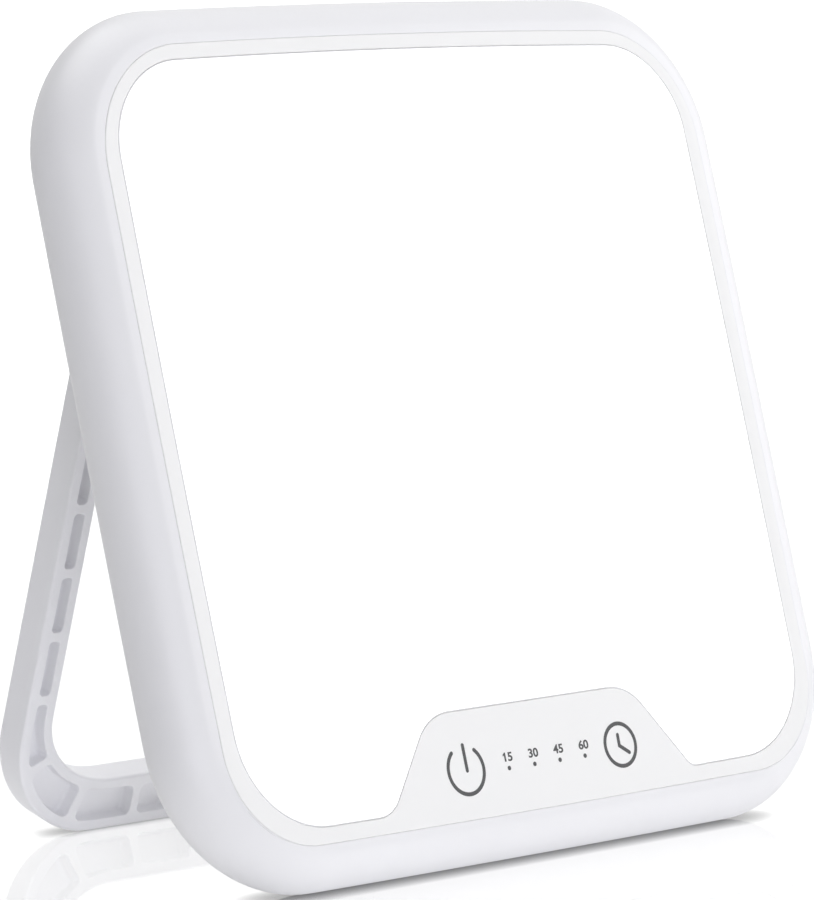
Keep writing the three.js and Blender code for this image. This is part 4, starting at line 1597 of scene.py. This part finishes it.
    def build_clock_symbol(self) -> None:
        """Prints the clock symbol: a closed ring and two hands."""
        half = self.stroke / 2
        inner, outer = self.clock_radius - half, self.clock_radius + half
        face, root = -self.ink_height, self.ink_root
        profile = [(inner, face), (outer, face), (outer, root), (inner, root)]
        ring = turned_at(self.clock_place, profile, 96, closed=True)
        hands = prism(self.stroke_outline(self.clock_hands, self.clock_place, self.stroke), face, root)
        Draft("clock_symbol", ring, hands).place(self.upright, self.finishes.ink, Body.HEAD)

    def build_timer_scale(self) -> None:
        """Prints a dot and the minutes for each time of the timer."""
        for k, minutes in enumerate(self.minutes):
            x = self.first_dot + k * self.dot_pitch
            dot = arc((x, self.dot_height), self.dot_radius, 0, TURN, 32)[:-1]
            self.print_shape(f"timer_dot_{minutes}", dot)
            self.print_digits(minutes, x)

    def print_digits(self, minutes: str, x: float) -> None:
        """Prints the minutes above their dot.

        Args:
            minutes: The digits.
            x: The middle of the pair on the head.
        """
        curve = bpy.data.curves.new(f"timer_digits_{minutes}", "FONT")
        curve.body = minutes
        curve.align_x = "CENTER"
        curve.size = self.digit_size
        curve.offset = self.digit_weight
        curve.extrude = (self.ink_height + self.ink_root) / 2
        source = bpy.data.objects.new("digits.source", curve)
        bpy.context.scene.collection.objects.link(source)
        graph = bpy.context.evaluated_depsgraph_get()
        graph.update()
        mesh = bpy.data.meshes.new_from_object(source.evaluated_get(graph), depsgraph=graph)
        bpy.data.objects.remove(source)
        shape = bmesh.new()
        shape.from_mesh(mesh)
        stand_up = Matrix.Rotation(QUARTER, 4, "X")
        stretch = Matrix.Diagonal((self.digit_stretch, 1, 1, 1))
        middle = (self.ink_root - self.ink_height) / 2
        move = Matrix.Translation((x + self.digit_shift, middle, self.digit_height))
        bmesh.ops.transform(shape, matrix=move @ stand_up @ stretch, verts=shape.verts)
        bmesh.ops.remove_doubles(shape, verts=shape.verts, dist=WELD)
        bpy.data.meshes.remove(mesh)
        left, top = min(vert.co.x for vert in shape.verts), max(vert.co.z for vert in shape.verts)
        digits = Draft(f"timer_digits_{minutes}", shape)
        if minutes.startswith("1"):
            flag = [(left + across, top + up) for across, up in self.digit_flag]
            digits.combine(Join.ADD, prism(flag, -self.ink_height, self.ink_root))
        digits.place(self.upright, self.finishes.ink, Body.HEAD)


@dataclass
class Stand:
    """The folding U stand, cored from the front, with the caps over its pivot screws.

    Every size is in millimetres. A run is a length along the middle of the U, from the middle of its bar,
    negative on the left.
    """

    layout: HeadLayout
    upright: Upright
    finishes: Finishes
    foot_relief: float = 0.8
    bar_height: float = 15.2
    outer_corner: float = 31.6
    inner_corner_width: float = 26.8
    inner_corner_height: float = 21.5
    edge: float = 0.9
    rim_edge: float = 0.45
    pocket_depth: float = 3.9
    pocket_wall: float = 3.2
    pocket_corner: float = 1.9
    pocket_corner_share: float = 0.68
    pocket_edge: float = 0.35
    pocket_draft: float = 0.15
    floor_round: float = 0.9
    rib_width: float = 2.8
    bar_ribs: int = 3
    bar_rib_pitch: float = 21.0
    corner_rib_pitch: float = 20.3
    arm_rib_pitch: float = 18.5
    solid_arm_end: float = 14.0
    cap_thickness: float = 0.8
    cap_edge: float = 0.15
    cap_crown: float = 0.12
    cap_shares: tuple[float, ...] = (0.85, 0.6, 0.35, 0.1)
    corner_steps: int = 40
    search_steps: int = 24
    search_step: float = 0.5
    tangent_step: float = 0.05
    least_reach: float = 0.05
    least_radius: float = 0.1
    length: float = field(init=False)

    def __post_init__(self) -> None:
        """Works out the stand's length from where its foot rests."""
        tilt = self.upright.lean
        foot_back = self.layout.arm_thickness / 2 - self.foot_relief
        self.length = (self.upright.origin.z - foot_back * math.sin(tilt)) / math.cos(tilt)

    @property
    def bar_run(self) -> float:
        """Run from the middle of the bar to the start of its corner."""
        outer = self.layout.stand_half - self.outer_corner
        inner = self.layout.arm_inside - self.inner_corner_width
        return (outer + inner) / 2

    @property
    def corner_run(self) -> float:
        """Run round one corner."""
        return (self.outer_corner + self.inner_corner_height) / 2 * QUARTER

    def edges(self, station: float, inset: float = 0.0) -> tuple[Vector, Vector]:
        """Gives the outer and inner edge at a run along the stand, with the foot at height 0.

        Args:
            station: Run from the middle of the bar, negative on the left.
            inset: How far both edges are moved into the material.

        Returns:
            The outer and the inner point.
        """
        side = -1.0 if station < 0 else 1.0
        run = abs(station)
        outer_bar = self.layout.stand_half - self.outer_corner
        inner_bar = self.layout.arm_inside - self.inner_corner_width
        inner_foot = self.bar_height + self.inner_corner_height
        if run < self.bar_run:
            share = run / self.bar_run
            outer = Vector((outer_bar * share, inset))
            inner = Vector((inner_bar * share, self.bar_height - inset))
        elif run < self.bar_run + self.corner_run:
            angle = (run - self.bar_run) / self.corner_run * QUARTER
            turn = Vector((math.sin(angle), -math.cos(angle)))
            outer = turn * (self.outer_corner - inset) + Vector((outer_bar, self.outer_corner))
            width, height = self.inner_corner_width + inset, self.inner_corner_height + inset
            inner = Vector((turn.x * width + inner_bar, turn.y * height + inner_foot))
        else:
            climb = run - self.bar_run - self.corner_run
            outer = Vector((self.layout.stand_half - inset, self.outer_corner + climb))
            inner = Vector((self.layout.arm_inside + inset, inner_foot + climb))
        outer.x *= side
        inner.x *= side
        return outer, inner

    def middle(self, station: float) -> Vector:
        """Gives the middle of the stand's width at a run along it."""
        outer, inner = self.edges(station)
        return outer.lerp(inner, 0.5)

    def rib_stations(self) -> list[float]:
        """Gives where the ribs cross the stand.

        Returns:
            Runs from the middle of the bar to the top of an arm.
        """
        stations = [k * self.bar_rib_pitch for k in range(self.bar_ribs + 1)]
        stations.append(stations[-1] + self.corner_rib_pitch)
        station = stations[-1] + self.corner_rib_pitch
        while self.middle(station).y < self.length - self.solid_arm_end:
            stations.append(station)
            station += self.arm_rib_pitch
        return stations

    def outline_row(self, top: float, inset: float, depth: float) -> Row:
        """Gives the U outline at a depth.

        Args:
            top: Height of the arms' ends over the foot.
            inset: How far the outline is moved into the material.
            depth: Depth of the row.

        Returns:
            The row of points, once round.
        """
        corner = spread(self.bar_run, self.bar_run + self.corner_run, self.corner_steps)
        runs = [-run for run in reversed(corner)] + corner
        edges = [self.edges(run, inset) for run in runs]
        width, inside = self.layout.stand_half - inset, self.layout.arm_inside + inset
        points = [
            Vector((-width, top)),
            *[outer for outer, _ in edges],
            Vector((width, top)),
            Vector((inside, top)),
            *[inner for _, inner in reversed(edges)],
            Vector((-inside, top)),
        ]
        return [Vector((point.x, depth, point.y - self.length)) for point in points]

    def half_widths(self, station: float) -> tuple[float, float]:
        """Gives how far the outer and inner edge lie from the middle line.

        Args:
            station: Run along the stand.

        Returns:
            The distance of the outer and of the inner edge.
        """
        middle = self.middle(station)
        shifts = range(-self.search_steps, self.search_steps + 1)
        near = [self.edges(station + shift * self.search_step) for shift in shifts]
        outer = min((point - middle).length for point, _ in near)
        inner = min((point - middle).length for _, point in near)
        return outer, inner

    def pocket_row(self, first: float, last: float, inset: float, depth: float) -> Row:
        """Gives one pocket's outline between two runs along the stand.

        Args:
            first: Run where the pocket starts.
            last: Run where it ends.
            inset: How far the outline is moved inward.
            depth: Depth of the row.

        Returns:
            The row of points, once round.
        """
        low, high = first + inset, last - inset
        slimmest = min(min(self.half_widths(run)) for run in (first, last)) - self.pocket_wall
        corner_radius = min(self.pocket_corner, self.pocket_corner_share * slimmest)
        radius = max(self.least_radius, corner_radius - inset)
        flat: list[tuple[float, float, float]] = []
        for side, start, ends in ((-1, HALF, (low, high)), (1, 0.0, (high, low))):
            middles = [end - radius if end == high else end + radius for end in ends]
            for corner, middle in enumerate(middles):
                begin = start + corner * QUARTER
                for angle in spread(begin, begin + QUARTER, 7):
                    shy = radius * (1 - abs(math.sin(angle)))
                    flat.append((middle + radius * math.cos(angle), side, shy))
                if corner == 0:
                    flat += [(run, side, 0.0) for run in spread(*middles, 8)[1:-1]]
        row = []
        for run, side, shy in flat:
            middle = self.middle(run)
            step = self.tangent_step
            ahead = (self.middle(run + step) - self.middle(run - step)).normalized()
            across = Vector((-ahead.y, ahead.x))
            outer, inner = self.half_widths(run)
            toward_outer = (self.edges(run)[0] - middle).dot(across) > 0
            sign = 1 if (side < 0) == toward_outer else -1
            reach = (outer if side < 0 else inner) - self.pocket_wall - inset - shy
            point = middle + across * sign * max(self.least_reach, reach)
            row.append(Vector((point.x, depth, point.y - self.length)))
        return row

    def pocket(self, shape: Shape, first: float, last: float) -> Loop:
        """Sinks one pocket into the front face.

        Args:
            shape: The mesh that the pocket goes into.
            first: Run where it starts.
            last: Run where it ends.

        Returns:
            The loop where it meets the front face.
        """
        front = -self.layout.arm_thickness / 2
        rows = [(-inset, depth) for inset, depth in edge_round(self.pocket_edge, 3)][::-1]
        rows += [
            (self.pocket_draft + inset, self.pocket_depth - depth)
            for inset, depth in edge_round(self.floor_round)
        ]
        loops = skin(shape, [self.pocket_row(first, last, inset, front + depth) for inset, depth in rows])
        shape.faces.new(loops[-1])
        return loops[0]

    def side_view(self) -> Shape:
        """Makes the side view of the stand, which trims its ends.

        Returns:
            A prism as wide as the stand. Its upper end is round in front and has a square heel behind.
        """
        half = self.layout.arm_thickness / 2
        heel = half + self.layout.hinge_clearance - self.layout.seat
        low = -self.length - OVERRUN
        outline = [
            (half + OVERRUN, low),
            (half + OVERRUN, heel),
            *arc((0.0, 0.0), heel, QUARTER, HALF, 28),
            (-half - OVERRUN, -self.layout.arm_thickness),
            (-half - OVERRUN, low),
        ]
        width = self.layout.stand_half + OVERRUN
        turn = Matrix(((0, 1, 0, 0), (1, 0, 0, 0), (0, 0, 1, 0), (0, 0, 0, 1)))
        return prism(outline, -width, width, turn)

    def bore(self, side: Side) -> Shape:
        """Makes the tool for one pivot's stepped bore.

        Args:
            side: The side that the arm is on.

        Returns:
            The tool.
        """
        layout = self.layout
        floor = layout.stand_half - layout.pivot_head_sink
        shaft, head = layout.pivot_radius + layout.seat, layout.pivot_head_radius + layout.seat
        ends = (layout.arm_inside - OVERRUN, layout.stand_half + OVERRUN)
        return turned_across(side, [(shaft, ends[0]), (shaft, floor), (head, floor), (head, ends[1])])

    def build(self) -> None:
        """Builds the stand and its caps."""
        shape = bmesh.new()
        half = self.layout.arm_thickness / 2
        top = self.length + self.layout.arm_thickness
        rounding = edge_round(self.edge)
        rows = [self.outline_row(top, inset, half - depth) for inset, depth in reversed(rounding)]
        rows += [self.outline_row(top, inset, depth - half) for inset, depth in rounding]
        loops = skin(shape, rows)
        fill(shape, [loops[0]])
        stations = self.rib_stations()
        spans = [(a + self.rib_width / 2, b - self.rib_width / 2) for a, b in zip(stations, stations[1:])]
        spans += [(-b, -a) for a, b in spans]
        fill(shape, [loops[-1], *[self.pocket(shape, a, b) for a, b in spans]])
        stand = Draft("folding_stand", shape)
        stand.combine(Join.KEEP, self.side_view())
        stand.combine(Join.CUT, *[self.bore(side) for side in Side]).soften(self.rim_edge)
        # The stand's plastic is lighter than the housing's, which paints light on the stand where the head
        # shades it.
        stand.place(self.upright, self.finishes.stand, Body.STAND, "stand_bracket")
        for side in Side:
            self.build_cap(side)

    def build_cap(self, side: Side) -> None:
        """Builds the slightly crowned cap over one pivot screw.

        Args:
            side: The side that the cap is on.
        """
        radius, crown = self.layout.pivot_head_radius, self.cap_crown
        outside = self.layout.stand_half
        profile = [(radius, outside - self.cap_thickness)]
        profile += [(radius - inset, outside - crown - depth) for inset, depth in edge_round(self.cap_edge)]
        profile += [(radius * share, outside - crown * share * share) for share in self.cap_shares]
        name = side.name.lower()
        cover = Draft(f"cap_over_pivot_{name}", turned_across(side, profile, 64))
        # The cap shares the stand's lighter plastic, with its painted light.
        cover.place(self.upright, self.finishes.stand, Body.STAND, f"pivot_cap_{name}")


@dataclass
class Hardware:
    """Screws, hinge hardware and the power inlet.

    Every size is in millimetres, the recess angle in degrees and the angle where a head's dome starts in
    radians. The core is the screw's shaft between its threads. The thread shares say where a thread's crest
    and its root lie in its pitch, and how close to the head the last one starts.
    """

    layout: HeadLayout
    upright: Upright
    finishes: Finishes
    screw_radius: float = 1.25
    core_share: float = 0.78
    tip_radius: float = 0.25
    tip_share: float = 0.7
    tip_length: float = 0.9
    thread_start: float = 1.1
    thread_pitch: float = 0.9
    thread_shares: tuple[float, ...] = (0.3, 0.6, 0.5)
    neck: float = 0.1
    screw_length: float = 5.0
    head_radius: float = 2.7
    head_height: float = 1.3
    head_edge: float = 0.15
    head_flat: float = 0.35
    head_wall: float = 0.4
    dome_start: float = 0.15
    recess_reach: float = 1.62
    recess_width: float = 0.7
    recess_floor_share: float = 0.4
    recess_edge: float = 0.06
    recess_angle: float = 55.0
    screw_turn: float = 0.5
    insert_groove: float = 0.25
    insert_steps: int = 16
    thread_radius: float = 1.45
    pivot_head_thickness: float = 1.8
    pivot_head_edge: float = 0.2
    washer_radius: float = 4.1
    led_board_front: float = 14.9
    control_board_back: float = 8.6
    driver_board_front: float = 12.5
    driver_board_back: float = 14.1
    jack_radius: float = 5.0
    jack_flange: float = 1.5
    jack_flange_thickness: float = 1.2
    jack_bore_radius: float = 2.75
    jack_pin_radius: float = 1.05
    jack_floor: float = 2.4
    jack_pin_recess: float = 1.0
    jack_edge: float = 0.25

    def build(self) -> None:
        """Builds every small part of metal or black plastic."""
        layout = self.layout
        seat = layout.seat
        cover_head = layout.back_depth - layout.screw_sink + seat
        control, driver = mirrored(layout.control_screw), mirrored(layout.driver_screw)
        self.build_screws("cover_screw", layout.cover_screws(), cover_head, False)
        self.build_screws("led_board_screw", layout.led_screws, self.led_board_front - seat, True)
        self.build_screws("control_board_screw", control, self.control_board_back + seat, False)
        self.build_screws("driver_board_screw", driver, self.driver_board_front - seat, True)
        for side in Side:
            self.build_hinge(side)
        self.build_jack()

    def screw_profile(self) -> list[Point]:
        """Gives half the section of a pan-head screw, with the head's underside at 0.

        Returns:
            Pairs of radius and place along the screw, from its tip to its head.
        """
        radius, core, pitch = self.screw_radius, self.screw_radius * self.core_share, self.thread_pitch
        profile = [(self.tip_radius, -self.screw_length)]
        profile.append((core * self.tip_share, self.tip_length - self.screw_length))
        along = self.thread_start - self.screw_length
        crest, root, end = (share * pitch for share in self.thread_shares)
        while along < -end:
            profile += [(core, along), (radius, along + crest), (core, along + root)]
            along += pitch
        profile.append((core, -self.neck))
        profile += [(self.head_radius - self.head_edge, 0.0), (self.head_radius, self.head_edge)]
        wide, high = self.head_radius - self.head_flat, self.head_height - self.head_wall
        return profile + [
            (self.head_flat + wide * math.cos(angle), self.head_wall + high * math.sin(angle))
            for angle in spread(self.dome_start, QUARTER, 7)
        ]

    def screw_draft(self, name: str) -> Draft:
        """Drafts a pan-head screw that points to the front, with a cross in its head.

        Args:
            name: The object's name.

        Returns:
            The draft.
        """
        draft = Draft(name, turned(self.screw_profile(), 48))
        reach, half = self.recess_reach, self.recess_width / 2
        arm = ((reach, half), (half, half), (half, reach))
        cross = [*arm]
        cross += [(-x, z) for x, z in reversed(arm)]
        cross += [(-x, -z) for x, z in arm]
        cross += [(x, -z) for x, z in reversed(arm)]
        tool = prism(cross, self.head_height * self.recess_floor_share, self.head_height + OVERRUN)
        return draft.combine(Join.CUT, tool).soften(self.recess_edge, self.recess_angle)

    def build_screws(self, name: str, places: Sequence[Point], depth: float, points_back: bool) -> None:
        """Builds the screws of one kind.

        Args:
            name: The first part of the nodes' names.
            places: Where they stand on the head.
            depth: Depth of the underside of the heads.
            points_back: Whether they are turned over.
        """
        for k, (x, z) in enumerate(places, 1):
            draft = self.screw_draft(f"{name}_{k}_fine")
            over = Matrix.Rotation(HALF if points_back else 0.0, 4, "X")
            turn = Matrix.Rotation(self.screw_turn * k, 4, "Y")
            draft.object.data.transform(Matrix.Translation((x, depth, z)) @ over @ turn)
            draft.place(self.upright, self.finishes.steel, Body.HEAD, f"{name}_{k}")

    def build_hinge(self, side: Side) -> None:
        """Builds the insert, shoulder screw and washer of one end of the hinge.

        Args:
            side: The side that they are on.
        """
        layout = self.layout
        seat, outside, name = layout.seat, layout.lug_outside, side.name.lower()
        insert_end = outside - layout.insert_length
        head_inside = layout.stand_half - layout.pivot_head_sink + seat
        head_outside = head_inside + self.pivot_head_thickness
        head_edge = self.pivot_head_edge
        bore = self.thread_radius + seat / 2
        grooves = [
            (
                layout.insert_radius - self.insert_groove * (k % 4 in (1, 2)),
                insert_end + layout.insert_length * k / self.insert_steps,
            )
            for k in range(self.insert_steps + 1)
        ]
        insert = [(bore, insert_end), *grooves, (bore, outside)]
        screw = [
            (self.thread_radius, insert_end + seat),
            (self.thread_radius, outside),
            (layout.pivot_radius, outside),
            (layout.pivot_radius, head_inside),
            (layout.pivot_head_radius, head_inside),
            (layout.pivot_head_radius, head_outside - head_edge),
            (layout.pivot_head_radius - head_edge, head_outside),
        ]
        washer = [
            (layout.pivot_radius + seat, outside + seat),
            (self.washer_radius, outside + seat),
            (self.washer_radius, layout.arm_inside - seat),
            (layout.pivot_radius + seat, layout.arm_inside - seat),
        ]
        parts = (
            ("hinge_insert", insert, True, self.finishes.brass),
            ("pivot_screw", screw, False, self.finishes.steel),
            ("friction_washer", washer, True, self.finishes.nylon),
        )
        for word, profile, closed, finish in parts:
            shape = turned_across(side, profile, closed=closed, move=layout.hinge_move)
            node = f"{word}_{name}"
            Draft(f"{node}_fine", shape).place(self.upright, finish, Body.HEAD, node)

    def build_jack(self) -> None:
        """Builds the barrel socket of the power inlet."""
        layout = self.layout
        foot = self.driver_board_back + layout.seat
        flange_back = layout.cover_inside - layout.seat
        flange_front = flange_back - self.jack_flange_thickness
        back = layout.back_depth
        pin_back = back - self.jack_pin_recess
        edge = edge_round(self.jack_edge)
        profile = [
            (self.jack_radius, foot),
            (self.jack_radius, flange_front),
            (self.jack_radius + self.jack_flange, flange_front),
            (self.jack_radius + self.jack_flange, flange_back),
            (self.jack_radius, flange_back),
            *[(self.jack_radius - inset, back - depth) for inset, depth in edge],
            *[(self.jack_bore_radius + inset, back - depth) for inset, depth in reversed(edge)],
            (self.jack_bore_radius, foot + self.jack_floor),
            (self.jack_pin_radius, foot + self.jack_floor),
            *[(self.jack_pin_radius - inset, pin_back - depth) for inset, depth in edge],
        ]
        inlet = Draft("power_inlet", turned_at(layout.jack_place, profile, 72))
        inlet.place(self.upright, self.finishes.black, Body.HEAD, "dc_jack")


@dataclass
class Interior:
    """What the closed lamp hides. These nodes keep their shape and get a finish."""

    finishes: Finishes

    def build(self) -> None:
        """Dresses every inner node."""
        finish = self.finishes
        plan: dict[str, Finish] = {
            "diffuser_film": finish.film,
            "reflector_tray": finish.reflector,
            "light_baffle": finish.reflector,
            "led_board": finish.white,
            "control_board": finish.green,
            "driver_board": finish.green,
            "board_pin_header": finish.black,
            "led_lead": finish.black,
            "touch_pad_power": finish.foam,
            "touch_pad_timer": finish.foam,
        }
        plan.update({name: finish.clear for name in frame["nodes"] if name.startswith("indicator_led_")})
        for name, choice in plan.items():
            node = frame["nodes"][name]
            for slot in node.material_slots:
                slot.material = choice.material()
            log.info("%s dressed in %s", name, choice.name)


@dataclass(frozen=True)
class Softbox:
    """A square softbox that faces the lamp.

    Attributes:
        name: The lamp's name.
        place: Where it hangs, in metres.
        size: Its side, in metres.
        power: Its power, in watts.
        tint: Its colour, linear.
    """

    name: str
    place: tuple[float, float, float]
    size: float
    power: float
    tint: tuple[float, float, float] = (1.0, 1.0, 1.0)

    def hang(self, target: Vector) -> None:
        """Makes the softbox and turns it to a target.

        Args:
            target: The place that it faces, in metres.
        """
        data = bpy.data.lights.new(self.name, "AREA")
        data.size = self.size
        data.energy = self.power
        data.color = self.tint
        light = bpy.data.objects.new(self.name, data)
        light.location = self.place
        light.rotation_euler = (target - Vector(self.place)).to_track_quat("-Z", "Y").to_euler()
        bpy.context.scene.collection.objects.link(light)


@dataclass
class Studio:
    """White floor, soft light and the camera of the photograph.

    Attributes:
        camera_place: Where the camera stands, in metres.
        azimuth: How far it looks to the right of straight ahead, in degrees.
        dip: How far it looks down, in degrees.
        focal: Its focal length, in pixels of the photograph.
        picture: Width and height of the photograph, in pixels.
        sensor: Width of the camera's sensor, in millimetres.
        softboxes: The lights.
        target: What they face, in metres.
        ambient: Colour of the light from all round, linear.
        ambient_strength: Its strength.
        floor_half: Half the floor's width, in metres.
        floor_tones: The floor's base tone as the lamp is lit by it, and as the camera sees it.
        floor_roughness: Its roughness, in the same order.
        floor_bounce: Light that the floor gives the lamp.
        floor_lift: Light that the camera sees in the floor.
        contact_reach: How far the lamp's contact shadow reaches, in metres.
    """

    camera_place: tuple[float, float, float] = (-1.02649, -1.06616, 0.26513)
    azimuth: float = 44.195
    dip: float = 6.166
    focal: float = 5454.25
    picture: tuple[int, int] = (814, 900)
    sensor: float = 36.0
    softboxes: tuple[Softbox, ...] = (
        Softbox("front_softbox", (0.9, -2.3, 1.5), 1.8, 20.0),
        Softbox("left_fill", (-1.35, -2.1, 0.44), 0.8, 15.5, (0.93, 0.93, 1.0)),
        Softbox("right_softbox", (2.3, -0.8, 1.0), 1.6, 21.0),
        Softbox("top_softbox", (-0.1, 0.5, 2.2), 1.8, 32.0),
    )
    target: tuple[float, float, float] = (0.0, 0.0, 0.1)
    ambient: Colour = (0.42, 0.42, 0.46, 1.0)
    ambient_strength: float = 0.1
    floor_half: float = 30.0
    floor_tones: tuple[float, float] = (0.9, 0.1)
    floor_roughness: tuple[float, float] = (0.15, 0.03)
    floor_bounce: float = 0.21
    floor_lift: float = 0.63
    contact_reach: float = 0.005

    def build(self) -> None:
        """Sets up the camera, the light and the floor."""
        scene = bpy.context.scene
        scene.view_settings.view_transform = "Standard"
        self.build_camera(scene)
        self.build_world(scene)
        for softbox in self.softboxes:
            softbox.hang(Vector(self.target))
        self.build_floor()

    def build_camera(self, scene: bpy.types.Scene) -> None:
        """Makes the camera.

        Args:
            scene: The scene that gets it.
        """
        data = bpy.data.cameras.new("photo_camera")
        data.sensor_width = self.sensor
        data.lens = self.focal * self.sensor / max(self.picture)
        data.clip_end = 100.0
        camera = bpy.data.objects.new("photo_camera", data)
        camera.location = self.camera_place
        camera.rotation_euler = (QUARTER - math.radians(self.dip), 0.0, -math.radians(self.azimuth))
        scene.collection.objects.link(camera)
        scene.camera = camera

    def build_world(self, scene: bpy.types.Scene) -> None:
        """Makes a world that lights softly and looks white.

        Args:
            scene: The scene that gets it.
        """
        world = bpy.data.worlds.new("studio")
        world.use_nodes = True
        world.node_tree.nodes.clear()
        graph = Graph(world.node_tree)
        path = graph.add("ShaderNodeLightPath")
        seen = graph.math("MAXIMUM", path.outputs["Is Camera Ray"], path.outputs["Is Glossy Ray"])
        seen = graph.math("MAXIMUM", seen, path.outputs["Is Transmission Ray"])
        soft = graph.add("ShaderNodeBackground", {"Color": self.ambient, "Strength": self.ambient_strength})
        white = graph.add("ShaderNodeBackground", {"Color": (1.0, 1.0, 1.0, 1.0), "Strength": 1.0})
        mixed = graph.add("ShaderNodeMixShader", {0: seen, 1: soft.outputs[0], 2: white.outputs[0]})
        graph.add("ShaderNodeOutputWorld", {"Surface": mixed.outputs[0]})
        scene.world = world

    def build_floor(self) -> None:
        """Makes the white floor, with a faint gloss that mirrors the lamp."""
        shape = bmesh.new()
        half = self.floor_half
        corners = [(-half, -half, 0.0), (half, -half, 0.0), (half, half, 0.0), (-half, half, 0.0)]
        shape.faces.new([shape.verts.new(corner) for corner in corners])
        mesh = bpy.data.meshes.new("floor")
        shape.to_mesh(mesh)
        shape.free()
        floor = bpy.data.objects.new("floor", mesh)
        bpy.context.scene.collection.objects.link(floor)
        graph, surface = start_material("white_floor")
        seen = graph.add("ShaderNodeLightPath").outputs["Is Camera Ray"]
        base = graph.blend(seen, *[(tone, tone, tone, 1.0) for tone in self.floor_tones])
        graph.feed(surface, {"Base Color": base, "Roughness": graph.level(seen, *self.floor_roughness)})
        near = graph.add("ShaderNodeAmbientOcclusion", {"Distance": self.contact_reach}, samples=16)
        lift = graph.math("MULTIPLY", near.outputs["AO"], self.floor_lift)
        bounce = graph.level(seen, self.floor_bounce, lift)
        glow = graph.add("ShaderNodeEmission", {"Color": (1.0, 1.0, 1.0, 1.0), "Strength": bounce})
        both = graph.add("ShaderNodeAddShader", {0: surface.outputs[0], 1: glow.outputs[0]})
        output = next(node for node in graph.tree.nodes if node.type == "OUTPUT_MATERIAL")
        graph.feed(output, {"Surface": both.outputs[0]})
        mesh.materials.append(bpy.data.materials["white_floor"])


def main() -> None:
    """Dresses the lamp piece by piece, then sets up the studio."""
    logging.basicConfig(level=logging.INFO, format="%(message)s")
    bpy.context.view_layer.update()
    layout = HeadLayout()
    finishes = Finishes()
    head = Upright.of_head(layout.back_depth)
    Studio().build()
    Housing(layout, head, finishes).build()
    FrontPanel(layout, head, finishes).build()
    Stand(layout, Upright.of_stand(), finishes).build()
    Hardware(layout, head, finishes).build()
    Interior(finishes).build()


if __name__ == "__main__":
    main()
